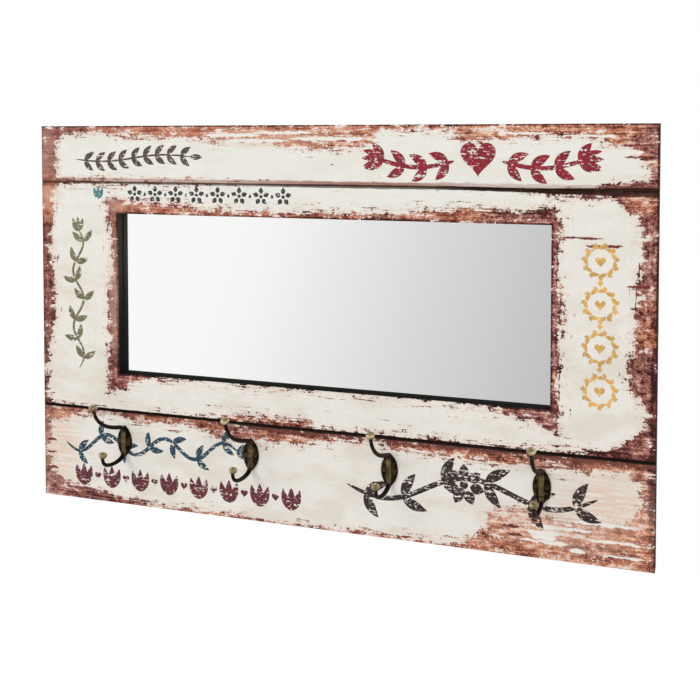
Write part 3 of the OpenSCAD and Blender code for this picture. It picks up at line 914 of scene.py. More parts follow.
@dataclass(frozen=True)
class StencilPaint(Finish):
    """The colours of the stencilled ornaments, chipped through to the board under them."""

    name: str = "stencil_paint"
    grime: Colour = tint(40, 34, 34)
    chalk: Colour = tint(206, 192, 178)

    def dress(self, graph: Graph) -> None:
        """Takes the colour from the piece's paint attribute, and its alpha as how chipped it is.

        Args:
            graph: The material's graph.
        """
        where = graph.place()
        own = graph.node("ShaderNodeAttribute", {"attribute_name": "paint"}, None, "Color")
        dab = graph.noise(where, (4.0, 4.0, 3.2), 4.0, 0.7)
        scuff = graph.noise(where, (20.0, 6.0, 2.4), 3.0, 0.65)
        wash = graph.noise(where, 12.0, 2.0, 0.5)
        shade = graph.blend(wash.rise(0.35, 0.65, 0.3), own, self.grime)
        shade = graph.blend(dab.rise(0.5, 0.72, 0.2), shade, self.chalk)
        whole = (scuff * 0.55 + dab * 0.6 + own.sibling("Alpha") * 0.08).fall(0.668, 0.7)
        graph.surface({
            "Base Color": shade,
            "Roughness": 0.5 + dab * 0.1,
            "Specular IOR Level": 0.35,
            "Alpha": whole,
            "Normal": graph.relief(dab, 0.12, 0.5),
        })


@dataclass(frozen=True)
class SilveredGlass(Finish):
    """Back-silvered mirror glass with a faint haze and a green cut edge."""

    name: str = "silvered_glass"
    silver: Colour = tint(248, 248, 247)
    cut_edge: Colour = tint(120, 165, 145)

    def dress(self, graph: Graph) -> None:
        """Mirrors the front and tints the edges of the sheet.

        Args:
            graph: The material's graph.
        """
        where = graph.place()
        haze = graph.noise(where, (90.0, 90.0, 60.0), 3.0, 0.6)
        low, high = (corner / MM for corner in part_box("mirror_glass"))
        x, _, z = graph.split(where)
        beyond = outside(x, z, high.x, (low.z + high.z) / 2, (high.z - low.z) / 2)
        edge = beyond.rise(-0.3, -0.05)
        graph.surface({
            "Base Color": graph.blend(edge, self.silver, self.cut_edge),
            "Metallic": 1 - edge * 0.9,
            "Roughness": 0.012 + haze.rise(0.5, 0.9) * 0.02 + edge * 0.25,
        })


@dataclass(frozen=True)
class AntiqueBrass(Finish):
    """Dark bronze patina over cast brass, rubbed bright where hands and coats touch it; the balls' tips
    and the rib also carry a painted highlight.
    """

    name: str = "antique_brass"
    patina: Colour = tint(16, 8, 4)
    patina_light: Colour = tint(41, 25, 14)
    rubbed: Colour = tint(146, 128, 90)
    polished_and_highlight: Colour = tint(250, 230, 184)

    def dress(self, graph: Graph) -> None:
        """Mixes patina and bare brass by the piece's own shine attribute and noise; the brightest brass,
        at high shine, is partly a painted highlight.

        Args:
            graph: The material's graph.
        """
        where = graph.place()
        shine = graph.node("ShaderNodeAttribute", {"attribute_name": "shine"}, None, "Fac")
        cloud = graph.noise(where, 7.0, 4.0, 0.65)
        grit = graph.noise(where, 0.9, 3.0, 0.6)
        rub = (shine + (cloud - 0.5) * 1.6 + (grit - 0.5) * 0.8).rise(0.3, 1.3)
        patina = graph.blend(cloud.rise(0.4, 0.65), self.patina, self.patina_light)
        # Polished brass at the balls' tips: rubbed brass, made brighter as a painted highlight.
        polish_and_highlight = (shine + (cloud - 0.5) * 0.8).rise(1.0, 1.4)
        brass = graph.blend(polish_and_highlight, self.rubbed, self.polished_and_highlight)
        graph.surface({
            "Base Color": graph.blend(rub, patina, brass),
            "Metallic": 0.4 + rub * 0.55,
            "Roughness": 0.46 - rub * 0.18 - polish_and_highlight * 0.08 + grit * 0.08,
            "Specular IOR Level": 0.06,
            "Normal": graph.relief(grit * 0.6 + cloud * 0.4, 0.18, 0.5),
        })


@dataclass(frozen=True)
class BrassScrew(Finish):
    """Browned brass of the hooks' screws."""

    name: str = "brass_screw"
    brown: Colour = tint(58, 45, 26)
    brass: Colour = tint(112, 92, 56)

    def dress(self, graph: Graph) -> None:
        """Mottles the brass with brown.

        Args:
            graph: The material's graph.
        """
        where = graph.place()
        cloud = graph.noise(where, 1.8, 4.0, 0.65)
        graph.surface({
            "Base Color": graph.blend(cloud.rise(0.4, 0.65), self.brown, self.brass),
            "Metallic": 1.0,
            "Roughness": 0.28 + cloud * 0.25,
            "Normal": graph.relief(cloud, 0.05, 0.4),
        })


@dataclass(frozen=True)
class Hardboard(Finish):
    """The rough side of hardboard, with the woven mark of its pressing screen."""

    name: str = "hardboard"
    weave_pitch: float = 1.6
    brown: Colour = tint(112, 80, 52)
    brown_light: Colour = tint(138, 102, 68)
    fleck: Colour = tint(84, 58, 38)
    thread: Colour = tint(92, 64, 42)

    def dress(self, graph: Graph) -> None:
        """Crosses two rows of fine ridges and stains them with cloudy browns.

        Args:
            graph: The material's graph.
        """
        where = graph.place()
        x, _, z = graph.split(where)
        weave = (x * math.tau / self.weave_pitch).sine() * (z * math.tau / self.weave_pitch).sine()
        cloud = graph.noise(where, 40.0, 5.0, 0.65)
        chip = graph.noise(where, 1.3, 3.0, 0.6)
        colour = graph.blend(cloud.rise(0.38, 0.64), self.brown, self.brown_light)
        colour = graph.blend(chip.rise(0.55, 0.75, 0.6), colour, self.fleck)
        colour = graph.blend(weave.rise(-1.0, 1.0, 0.35), colour, self.thread)
        graph.surface({
            "Base Color": colour,
            "Roughness": 0.78 + cloud * 0.1,
            "Normal": graph.relief(weave * 0.5 + 0.5 + chip * 0.3, 0.16, 0.6),
        })


@dataclass(frozen=True)
class PlatedMetal(Finish):
    """Bright plated steel: zinc or nickel over rolled sheet and turned screws."""

    light: Colour = tint(214, 217, 221)
    dark: Colour = tint(168, 172, 178)
    grime: Colour = tint(122, 118, 110)
    roughness: float = 0.3
    crystal: float = 3.2

    def dress(self, graph: Graph) -> None:
        """Breaks the plating into faint crystals with fine rolling lines over them.

        Args:
            graph: The material's graph.
        """
        where = graph.place()
        spot = graph.vector("DIVIDE", where, {1: (self.crystal, self.crystal, self.crystal)})
        cells = graph.node("ShaderNodeTexVoronoi", None, {"Vector": spot, "Scale": 1.0}, "Color")
        patch, _, _ = graph.split(cells)
        lines = graph.noise(where, (0.5, 6.0, 6.0), 2.0, 0.5)
        dirt = graph.noise(where, 9.0, 4.0, 0.6)
        colour = graph.blend(patch.rise(0.2, 0.9), self.dark, self.light)
        colour = graph.blend(dirt.rise(0.58, 0.78, 0.4), colour, self.grime)
        graph.surface({
            "Base Color": colour,
            "Metallic": 1.0,
            "Roughness": self.roughness + patch * 0.08 + dirt.rise(0.5, 0.8) * 0.16,
            "Normal": graph.relief(lines, 0.04, 0.4),
        })


@dataclass(frozen=True)
class Rubber(Finish):
    """Matt dark grey rubber with a dusty bloom."""

    name: str = "pad_rubber"
    black: Colour = tint(44, 44, 45)
    bloom: Colour = tint(82, 80, 77)

    def dress(self, graph: Graph) -> None:
        """Sets a fine pebble and lighter dust on the rubber.

        Args:
            graph: The material's graph.
        """
        where = graph.place()
        pebble = graph.noise(where, 0.7, 3.0, 0.6)
        dust = graph.noise(where, 5.0, 4.0, 0.65)
        graph.surface({
            "Base Color": graph.blend(dust.rise(0.5, 0.8, 0.7), self.black, self.bloom),
            "Roughness": 0.7 + dust * 0.15,
            "Normal": graph.relief(pebble, 0.1, 0.5),
        })


# ---------------------------------------------------------------- meshes from arrays


def ring_quads(rings: int, around: int) -> np.ndarray:
    """Lists the quads between closed rings.

    Quad (i, j) joins the points j and j + 1 of the rings i and i + 1.

    Args:
        rings: Number of rings.
        around: Points in each ring.

    Returns:
        An array of shape (quads, 4) of point numbers.
    """
    i, j = np.meshgrid(np.arange(rings - 1), np.arange(around), indexing="ij")
    after = (j + 1) % around
    corners = [i * around + j, i * around + after, (i + 1) * around + after, (i + 1) * around + j]
    return np.stack(corners, axis=-1).reshape(-1, 4)


def signed_volume(points: np.ndarray, quads: np.ndarray) -> float:
    """Sums the wedges between quads and their points' middle; positive if they face outwards."""
    a, b, c, d = (points[quads[:, k]] - points.mean(axis=0) for k in range(4))
    return float((np.cross(a, b) * c).sum() + (np.cross(a, c) * d).sum())


@dataclass
class Skin:
    """Closed shells gathered for one mesh, with a value carried by each of their points."""

    points: list[np.ndarray] = field(default_factory=list)
    faces: list[list[int]] = field(default_factory=list)
    shine: list[np.ndarray] = field(default_factory=list)
    size: int = 0

    def add_tube(self, rings: np.ndarray, shine: np.ndarray | float = 0.0) -> None:
        """Adds a tube of closed rings with a flat cap at each end, turned to face outwards.

        Args:
            rings: Points, (rings, around, 3).
            shine: The value for every point, or one per ring, (rings,).
        """
        count, around, _ = rings.shape
        flat = rings.reshape(-1, 3)
        quads = ring_quads(count, around)
        caps = [np.arange(around)[::-1], (count - 1) * around + np.arange(around)]
        turn = -1 if signed_volume(flat, quads) < 0 else 1
        self.faces += (quads[:, ::turn] + self.size).tolist()
        self.faces += [(cap[::turn] + self.size).tolist() for cap in caps]
        self.points.append(flat)
        spread = np.broadcast_to(np.asarray(shine, dtype=float).reshape(-1, 1), (count, around))
        self.shine.append(spread.reshape(-1))
        self.size += len(flat)

    def piece(self, name: str, finish: Finish, crease: float) -> bpy.types.Object:
        """Makes the mesh object.

        Args:
            name: Name of the piece.
            finish: Its finish.
            crease: Edges sharper than this, in degrees, stay sharp.

        Returns:
            The object, at the origin, with its material.
        """
        mesh = bpy.data.meshes.new(name)
        mesh.from_pydata(np.concatenate(self.points).tolist(), [], self.faces)
        values = mesh.attributes.new("shine", "FLOAT", "POINT")
        values.data.foreach_set("value", np.concatenate(self.shine).astype(np.float32))
        mesh.shade_smooth()
        mesh.set_sharp_from_angle(angle=math.radians(crease))
        mesh.materials.append(finish.material())
        return add_object(name, mesh)


def report(piece: bpy.types.Object) -> None:
    """Logs a piece that rides on the board, with its number of points."""
    log.info("%s rides on %s with %d points", piece.name, BOARD_BODY, len(piece.data.vertices))


def dress_node(node: str, finish: Finish) -> None:
    """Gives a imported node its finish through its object's material slots.

    Args:
        node: Name of the node.
        finish: The finish to give it.
    """
    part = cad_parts[node]
    if not part.material_slots:
        part.data.materials.append(None)
    for slot in part.material_slots:
        slot.material = finish.material()
    log.info("%s keeps its packed shape, finished in %s", node, finish.name)


# ---------------------------------------------------------------- stencilled ornaments


def step_from(middle: Point, radius: float, degrees: float) -> Point:
    """Gives the place on the face that lies at a distance from another, at an angle."""
    turn = math.radians(degrees)
    return (middle[0] + radius * math.cos(turn), middle[1] - radius * math.sin(turn))


class Outline(Enum):
    """Outline of a blot."""

    ROUND = "round"
    LOZENGE = "lozenge"
    HEART = "heart"

    def points(self, count: int) -> tuple[np.ndarray, np.ndarray]:
        """Works out the outline round the origin.

        It is a circle; a diamond, the circle divided by |cos| + |sin| and made narrower; or a
        heart, from the usual curve of a cubed sine and four cosines.

        Args:
            count: Number of points.

        Returns:
            Places across and up for a radius, or half a height, of 1.
        """
        a = np.linspace(0, math.tau, count, endpoint=False)
        if self is Outline.HEART:
            up = 13 * np.cos(a) - 5 * np.cos(2 * a) - 2 * np.cos(3 * a) - np.cos(4 * a)
            return np.sin(a) ** 3, up / 15
        if self is Outline.LOZENGE:
            spread = np.abs(np.cos(a)) + np.abs(np.sin(a))
            return 0.72 * np.cos(a) / spread, np.sin(a) / spread
        return np.cos(a), np.sin(a)


@dataclass
class Ornament:
    """One stencilled ornament: low domed strokes of paint on the board's face."""

    name: str
    colour: Colour
    face: Face
    wear: float = 0.5
    relief: float = 0.16
    sunk: float = 0.05
    full_half: float = 1.2
    hairline: float = 0.02
    leaf_steps: int = 12
    blot_points: int = 36
    skin: Skin = field(default_factory=Skin)

    def stroke(self, path: np.ndarray, half_width: np.ndarray) -> None:
        """Adds a stroke along a path.

        The cross-section is a low dome: its height is relief times 1 - v^4 for v from -1 at one
        side to 1 at the other, and it thins where the stroke is narrow. Two points under each
        section close it below the board's face.

        Args:
            path: Middle line on the face, (n, 2), as (across, down).
            half_width: Half the stroke's width at each point, (n,).
        """
        along = np.gradient(path, axis=0)
        along /= np.linalg.norm(along, axis=1, keepdims=True) + 1e-9
        side = np.stack([-along[:, 1], along[:, 0]], axis=1)
        v = np.concatenate([[-1.0], np.linspace(-1, 1, 7), [1.0]])
        flat = path[:, None, :] + side[:, None, :] * half_width[:, None, None] * v[None, :, None]
        thin = np.minimum(half_width / self.full_half, 1.0)[:, None]
        dome = self.relief * thin * (1 - v[None, :] ** 4)
        dome[:, [0, -1]] = -self.sunk
        self.skin.add_tube(self.face.spot(flat[..., 0], flat[..., 1], dome))

    def leaf(self, base: Point, angle: float, length: float, width: float, bend: float = 0.0) -> None:
        """Adds a leaf: a stroke whose path is an arc and whose width swells and comes to a point.

        Args:
            base: Where it starts, as (across, down).
            angle: Its heading in degrees; 0 points right and 90 points up.
            length: Length along its middle.
            width: Greatest width.
            bend: How many degrees it turns from base to tip.
        """
        t = np.linspace(0, 1, self.leaf_steps + 1)
        heading = np.radians(angle + bend * (t - 0.5))
        path = np.stack([np.cumsum(np.cos(heading)), -np.cumsum(np.sin(heading))], axis=1)
        path *= length / self.leaf_steps
        path += np.asarray(base) - path[0]
        self.stroke(path, self.hairline + width / 2 * np.sin(np.pi * t ** 0.85) ** 0.9)

    def stem(self, path: np.ndarray, width: float) -> None:
        """Adds a stem of even width whose ends taper off."""
        t = np.linspace(-1, 1, len(path))
        self.stroke(path, self.hairline + width / 2 * np.sqrt(np.clip(1 - t ** 6, 0, 1)))

    def blot(self, middle: Point, radius: float, outline: Outline) -> None:
        """Adds a disc, a lozenge or a heart, whose points run in on shrinking copies of its rim.

        Args:
            middle: Middle of the blot, as (across, down).
            radius: Its radius, or half its height.
            outline: Its outline.
        """
        across, up = outline.points(self.blot_points)
        share = np.array([1.0, 1.0, 0.93, 0.8, 0.5, 0.2, 0.02])[:, None]
        proud = self.relief * (1 - share ** 4) * np.ones_like(up)
        proud[0] = -self.sunk
        self.skin.add_tube(self.face.spot(
            middle[0] + radius * share * across, middle[1] - radius * share * up, proud
        ))

    def rosette(self, middle: Point, radius: float, petals: int) -> None:
        """Adds a flower: petals round a button, the first one upright.

        Args:
            middle: Middle of the flower, as (across, down).
            radius: Its radius.
            petals: Number of petals.
        """
        for k in range(petals):
            angle = 90 + 360 * k / petals
            self.leaf(step_from(middle, 0.3 * radius, angle), angle, radius * 0.7, radius * 0.52)
        self.blot(middle, radius * 0.2, Outline.ROUND)

    def wreath(self, middle: Point, radius: float, leaves: int = 11) -> None:
        """Adds a wreath: short leaves that follow each other round a small heart.

        Args:
            middle: Middle of the wreath, as (across, down).
            radius: Radius of the ring on which the leaves stand.
            leaves: Number of long leaves, each with a short one at its foot.
        """
        for k in range(leaves):
            angle = 360 * k / leaves
            start = step_from(middle, radius, angle)
            self.leaf(start, angle + 122, radius * 0.62, radius * 0.27, 40)
            self.leaf(start, angle + 62, radius * 0.36, radius * 0.2)
        self.blot(middle, radius * 0.34, Outline.HEART)

    def tulip(self, base: Point, height: float, angle: float = 90.0) -> None:
        """Adds a tulip: a bud of three leaves that fan out from its base."""
        for spread, bend in ((0, 0), (-24, 34), (24, -34)):
            self.leaf(base, angle + spread, height, height * 0.34, bend)

    def sprig(self, path: np.ndarray, pairs: int, length: float, width: float,
              spread: float = 42.0) -> None:
        """Adds leaves in pairs along a stem, pointing forward along it.

        Args:
            path: Middle line of the stem, (n, 2).
            pairs: Number of pairs.
            length: Length of a leaf.
            width: Width of a leaf.
            spread: Angle between leaf and stem in degrees.
        """
        along = np.gradient(path, axis=0)
        heading = np.degrees(np.arctan2(-along[:, 1], along[:, 0]))
        for k in np.linspace(len(path) * 0.08, len(path) * 0.9, pairs).astype(int):
            for side in (-1, 1):
                self.leaf(tuple(path[k]), heading[k] + side * spread, length, width, side * -30)

    def finish(self) -> None:
        """Makes the piece, gives it its colour and hangs it on the board."""
        made = self.skin.piece(self.name, StencilPaint(), crease=180.0)
        colours = made.data.attributes.new("paint", "FLOAT_COLOR", "POINT")
        own = np.array([*self.colour[:3], self.wear], dtype=np.float32)
        colours.data.foreach_set("color", np.tile(own, len(made.data.vertices)))
        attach(made, BOARD_BODY)
        report(made)


def wave(start: Point, end: Point, swing: float, turns: float, count: int = 90) -> np.ndarray:
    """Works out a wavy line on the face.

    Args:
        start: Where it starts, as (across, down).
        end: Where it ends.
        swing: How far it swings to each side.
        turns: How many full waves it makes.
        count: Number of points.

    Returns:
        Points (count, 2): the straight line plus swing times the sine, square to the line.
    """
    t = np.linspace(0, 1, count)[:, None]
    first, last = np.asarray(start), np.asarray(end)
    along = (last - first) / np.linalg.norm(last - first)
    square = np.array([-along[1], along[0]])
    return first + (last - first) * t + square * swing * np.sin(math.tau * turns * t)


@dataclass
class Ornaments:
    """The board's stencilled decoration: sprigs, vines, flowers and hearts."""

    face: Face

    def build(self) -> None:
        """Paints every ornament."""
        self.laurel()
        self.floret_row()
        self.heart_spray()
        self.small_bud()
        self.left_vine()
        self.right_chain()
        self.tendril_vine()
        self.tulip_row()
        self.broad_branch()

    def laurel(self) -> None:
        """Paints the brown laurel at the top left."""
        brush = Ornament("laurel_top_left", tint(86, 70, 66), self.face)
        path = wave((54, 44), (226, 40), 3.5, 1.0)
        brush.stem(path, 2.4)
        brush.sprig(path, 9, 19, 7.6)
        brush.leaf((224, 40), 0, 18, 7.6)
        brush.finish()

    def floret_row(self) -> None:
        """Paints the grey row of florets and dots under the upper groove."""
        brush = Ornament("floret_row", tint(62, 60, 62), self.face, 0.05)
        for k in range(8):
            brush.rosette((143 + 30 * k, 89), 11.5, 5)
            if k < 7:
                brush.blot((158 + 30 * k, 89), 3.0, Outline.LOZENGE)
        brush.finish()

    def heart_spray(self) -> None:
        """Paints the crimson heart between two leafy sprays at the top right."""
        brush = Ornament("heart_spray", tint(146, 28, 46), self.face)
        middle = 598
        brush.blot((middle, 38), 21, Outline.HEART)
        for side in (-1, 1):
            path = wave((middle + side * 28, 43), (middle + side * 124, 40), side * 9, 0.5)
            brush.stem(path, 5.4)
            brush.sprig(path, 4, 26, 11.0, 40)
            brush.tulip((middle + side * 119, 40), 24, 0 if side > 0 else 180)
        brush.finish()

    def small_bud(self) -> None:
        """Paints the small teal bud at the upper groove."""
        brush = Ornament("small_bud", tint(74, 128, 132), self.face, 0.2)
        brush.tulip((88, 96), 17)
        brush.finish()

    def left_vine(self) -> None:
        """Paints the olive vine up the left of the mirror."""
        brush = Ornament("left_vine", tint(122, 118, 84), self.face)
        path = wave((56, 324), (56, 136), 8, 2.5)
        brush.stem(path, 3.4)
        brush.sprig(path, 7, 21, 8.5, 48)
        brush.tulip((56, 140), 20)
        brush.finish()

    def right_chain(self) -> None:
        """Paints the golden chain of wreaths and lozenges down the right of the mirror."""
        brush = Ornament("right_chain", tint(228, 178, 92), self.face, 0.15)
        for k in range(4):
            brush.wreath((738, 154 + 49 * k), 17.5)
            if k < 3:
                brush.blot((738, 178.5 + 49 * k), 4.5, Outline.LOZENGE)
        brush.finish()

    def tendril_vine(self) -> None:
        """Paints the teal vine along the left half of the bottom plank."""
        brush = Ornament("tendril_vine", tint(26, 68, 86), self.face)
        path = wave((34, 424), (292, 416), 12, 3.0)
        brush.stem(path, 5.2)
        brush.sprig(path, 7, 22, 8.5, 50)
        brush.tulip((288, 416), 22, 10)
        brush.finish()

    def tulip_row(self) -> None:
        """Paints the maroon tulips along the bottom edge."""
        brush = Ornament("tulip_row", tint(102, 36, 46), self.face)
        for k in range(8):
            middle = 62 + 43 * k
            brush.tulip((middle, 481), 30)
            if k < 7:
                brush.blot((middle + 21.5, 466), 5.0, Outline.HEART)
        brush.finish()

    def broad_branch(self) -> None:
        """Paints the dark branch with broad leaves on the right half of the bottom plank."""
        brush = Ornament("broad_branch", tint(48, 31, 32), self.face, 0.6)
        path = wave((436, 438), (738, 424), 15, 1.5)
        brush.stem(path, 6.4)
        brush.sprig(path, 6, 34, 12.5, 44)
        brush.rosette((583, 424), 25, 7)
        brush.finish()


# ---------------------------------------------------------------- the hooks


def cubic(ends: np.ndarray, t: np.ndarray) -> tuple[np.ndarray, np.ndarray]:
    """Follows a cubic curve with two end points and two handles.

    Args:
        ends: Start, first handle, second handle and end, (4, 2).
        t: Positions from 0 to 1, (n,).

    Returns:
        Points (n, 2), weighted by (1-t)^3, 3t(1-t)^2, 3t^2(1-t) and t^3, and the heading in
        radians at each.
    """
    s = 1 - t
    weights = np.stack([s ** 3, 3 * t * s ** 2, 3 * t ** 2 * s, t ** 3], axis=1)
    slopes = np.stack([s ** 2, 2 * t * s, t ** 2], axis=1) @ np.diff(ends, axis=0)
    return weights @ ends, np.arctan2(slopes[:, 1], slopes[:, 0])


def toward(degrees: float) -> np.ndarray:
    """Gives the direction of a heading, as (out, up)."""
    return np.array([math.cos(math.radians(degrees)), math.sin(math.radians(degrees))])


def between(first: float, last: float, share: np.ndarray) -> np.ndarray:
    """Runs evenly from first to last as the share goes from 0 to 1."""
    return first + (last - first) * share


@dataclass(frozen=True)
class Prong:
    """One prong of a hook, as places (out, up) from the middle of the plate's back.

    The handles are those of the cubic curve from the knee to the ball's neck.
    """

    rib_end: float
    knee: Point
    knee_heading: float
    ball: Point
    ball_heading: float
    knee_handle: float
    ball_handle: float


@dataclass(frozen=True)
class Rod:
    """A stretch of a prong: its middle line, with heading, radius, sideways swell and shine."""

    middle: np.ndarray
    heading: np.ndarray
    radius: np.ndarray
    swell: np.ndarray
    shine: np.ndarray

    def __add__(self, after: "Rod") -> "Rod":
        """Joins another stretch to the end of this one."""
        pairs = zip(vars(self).values(), vars(after).values())
        return Rod(*(np.concatenate(pair) for pair in pairs))

    def turned(self) -> "Rod":
        """Gives the same stretch, followed the other way."""
        middle, heading, radius, swell, shine = (values[::-1] for values in vars(self).values())
        return Rod(middle, heading + math.pi, radius, swell, shine)


@dataclass
class CastHook:
    """A cast double hook: a crowned pointed plate with a rib that bends out into two prongs."""

    number: int
    plate_width: float = 21.0
    plate_height: float = 42.0
    plate_thick: float = 3.4
    rim_thick: float = 1.8
    tip_cut: float = 0.06
    shoulder: float = 0.7
    screw_offset: float = 6.3
    seat_radius: float = 2.85
    seat_drop: float = 0.82
    seat_edge: float = 0.25
    rib_out: float = 2.9
    rib_rise: float = 0.8
    rib_half: float = 2.4
    rib_fillet: float = 1.7
    rib_reach: float = 14.5
    rib_fade: float = 4.0
    root_radius: float = 2.8
    knee_radius: float = 2.716
    neck_radius: float = 2.1
    root_swell: float = 1.18
    knee_swell: float = 1.06
    root_lead: float = 0.6
    root_handle: float = 8.0
    fillet: float = 0.6
    fillet_reach: float = 1.1
    ball_radius: float = 5.5
    ball_half: float = 4.2
    upper: Prong = Prong(8.4, (14.0, 21.6), 11.5, (74.0, 61.5), 75.0, 22.2, 22.755)
    lower: Prong = Prong(-8.4, (12.0, -21.0), -14.0, (53.0, -4.5), 98.0, 12.985, 14.84)
    ring_points: int = 32
    plate_shine: float = 0.36
    # Rib shine: rubbed brass, set high as a painted highlight along the ridge.
    rib_rub_and_highlight: float = 0.74
    arm_shine: float = 0.4

    @property
    def node(self) -> str:
        """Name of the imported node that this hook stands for."""
        return f"hook_{self.number}"

    @property
    def neck_turn(self) -> float:
        """Angle on the ball, in radians, at which the flared neck meets it."""
        return math.asin((self.neck_radius + self.fillet) / self.ball_radius)

    def root(self, prong: Prong) -> Rod:
        """Bends a prong out of the rib on a cubic curve that ends at the knee.

        Args:
            prong: The prong's places and headings.

        Returns:
            The root, whose radius and swell run evenly from the rib to the knee.
        """
        t = np.linspace(0, 1, 25)
        knee = np.array(prong.knee)
        start = np.array([self.rib_out, prong.rib_end])
        leave = start + np.array([0.0, self.root_lead * (knee[1] - prong.rib_end)])
        arrive = knee - toward(prong.knee_heading) * self.root_handle
        middle, heading = cubic(np.stack([start, leave, arrive, knee]), t)
        radius = between(self.root_radius, self.knee_radius, t)
        swell = between(self.root_swell, self.knee_swell, t)
        # Shine is highest at the rib: rubbed brass and a painted highlight along it.
        return Rod(middle, heading, radius, swell, self.rib_rub_and_highlight * (1 - t ** 2))

    def arm(self, prong: Prong) -> Rod:
        """Carries a prong on a cubic curve from the knee to the neck of its ball.

        The radius runs evenly to the neck, and flares there into the ball by a bell curve of the
        distance that is left.

        Args:
            prong: The prong's places and headings.

        Returns:
            The arm, without its first point, which ends the root.
        """
        t = np.linspace(0, 1, 61)[1:]
        knee, ball_aim = np.array(prong.knee), toward(prong.ball_heading)
        neck = np.array(prong.ball) - ball_aim * self.ball_half * math.cos(self.neck_turn)
        leave = knee + toward(prong.knee_heading) * prong.knee_handle
        arrive = neck - ball_aim * prong.ball_handle
        middle, heading = cubic(np.stack([knee, leave, arrive, neck]), t)
        left_over = np.linalg.norm(middle - neck, axis=1)
        flare = self.fillet * np.exp(-((left_over / self.fillet_reach) ** 2))
        radius = between(self.knee_radius, self.neck_radius, t) + flare
        return Rod(middle, heading, radius, between(self.knee_swell, 1.0, t), self.arm_shine * t ** 3)

    def ball(self, prong: Prong) -> Rod:
        """Ends a prong in its ball, which is flattened along the prong.

        Its rings move with the cosine of their angle and shrink with the sine. It shines most at its tip,
        which hands and coats rub, and which also carries a painted highlight.

        Args:
            prong: The prong's places and headings.

        Returns:
            The ball, without the ring at the neck, which ends the arm.
        """
        angle = np.linspace(self.neck_turn, math.pi * 0.985, 22)[1:]
        along = self.ball_half * np.cos(angle)[:, None]
        middle = np.array(prong.ball) - toward(prong.ball_heading) * along
        heading = np.full_like(angle, math.radians(prong.ball_heading))
        # Shine rises to the tip: rubbed brass there, brightened further as a painted highlight.
        shine = 0.95 + 0.35 * np.sin(angle / 2) ** 2
        return Rod(middle, heading, self.ball_radius * np.sin(angle), np.ones_like(angle), shine)

    def rod_rings(self) -> tuple[np.ndarray, np.ndarray]:
        """Sweeps one rod from the upper ball down the rib to the lower ball.

        Each ring lies square to the middle line: across by radius times swell times the sine,
        and along the line's normal by radius times the cosine.

        Returns:
            The rings in millimetres round the plate's middle, and the shine of each ring.
        """
        up, low = (self.root(p) + self.arm(p) + self.ball(p) for p in (self.upper, self.lower))
        rod = up.turned() + low
        a = np.linspace(0, math.tau, self.ring_points, endpoint=False)
        across = (rod.radius * rod.swell)[:, None] * np.sin(a)
        lift = rod.radius[:, None] * np.cos(a)
        out = rod.middle[:, :1] - np.sin(rod.heading)[:, None] * lift
        rise = rod.middle[:, 1:] + np.cos(rod.heading)[:, None] * lift
        return np.stack([across, -out, rise], axis=-1), rod.shine

    def plate_front(self, x: np.ndarray, z: np.ndarray, half: np.ndarray) -> np.ndarray:
        """Works out how far the plate's front stands out at each point.

        The front is part of a wide cylinder, rounded over at its rim, swept up to the rib by a
        fillet, and sunk flat round each screw head.

        Args:
            x: Places across.
            z: Heights.
            half: Half the plate's width at those heights.

        Returns:
            Distances out from the plate's back.
        """
        drop, reach = self.plate_thick - self.rim_thick, self.plate_width / 2
        crown = (reach ** 2 + drop ** 2) / (2 * drop)
        out = self.plate_thick - (crown - np.sqrt(crown ** 2 - x ** 2))
        soft = np.minimum(self.shoulder, half * 0.9)
        over = np.clip((np.abs(x) - (half - soft)) / soft, 0, 1)
        out = out - self.shoulder * (1 - np.sqrt(1 - over ** 2))
        rib_foot = np.clip(1 - (np.abs(x) - self.rib_half) / self.rib_fillet, 0, 1) ** 2
        window = np.clip((self.rib_reach - np.abs(z)) / self.rib_fade, 0, 1)
        out = out + self.rib_rise * rib_foot * window * (1 - over)
        seat = self.plate_thick - self.seat_drop
        for side in (-1, 1):
            far = np.hypot(x - side * self.screw_offset, z)
            inside = np.clip((self.seat_radius + self.seat_edge - far) / self.seat_edge, 0, 1)
            out = out * (1 - inside) + np.minimum(out, seat) * inside
        return out

    def plate_rings(self) -> np.ndarray:
        """Lofts the plate from its lower point to its upper point.

        Half the width at height z is that of two crossing circles. Each ring runs over the
        crowned front and back along the flat back.

        Returns:
            The rings in millimetres round the plate's middle.
        """
        circle = (self.plate_height ** 2 + self.plate_width ** 2) / (4 * self.plate_width)
        tip = self.plate_height / 2 - self.tip_cut
        z = tip * np.sin(np.linspace(-np.pi / 2, np.pi / 2, 141))[:, None]
        half = np.sqrt(circle ** 2 - z ** 2) - (circle - self.plate_width / 2)
        v = np.sin(np.linspace(-np.pi / 2, np.pi / 2, 97))[None, :]
        x = half * v
        front = self.plate_front(x, z + 0 * v, half + 0 * v)
        back = half * np.linspace(1, -1, 9)[None, :]
        across = np.concatenate([x, back], axis=1)
        out = np.concatenate([front, np.zeros_like(back)], axis=1)
        return np.stack([across, -out, z + 0 * across], axis=-1)

    def build(self) -> None:
        """Makes the casting at its node's place and dresses its screws."""
        low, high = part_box(f"{self.node}_screws")
        place = np.array([(low.x + high.x) / 2, FACE.front * MM, (low.z + high.z) / 2])
        skin = Skin()
        rings, shine = self.rod_rings()
        skin.add_tube(rings * MM + place, shine)
        skin.add_tube(self.plate_rings() * MM + place, self.plate_shine)
        made = skin.piece(f"{self.node}_casting", AntiqueBrass(), crease=50.0)
        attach(made, BOARD_BODY)
        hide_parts(self.node)
        report(made)
        dress_node(f"{self.node}_screws", BrassScrew())


# ---------------------------------------------------------------- back, floor and light


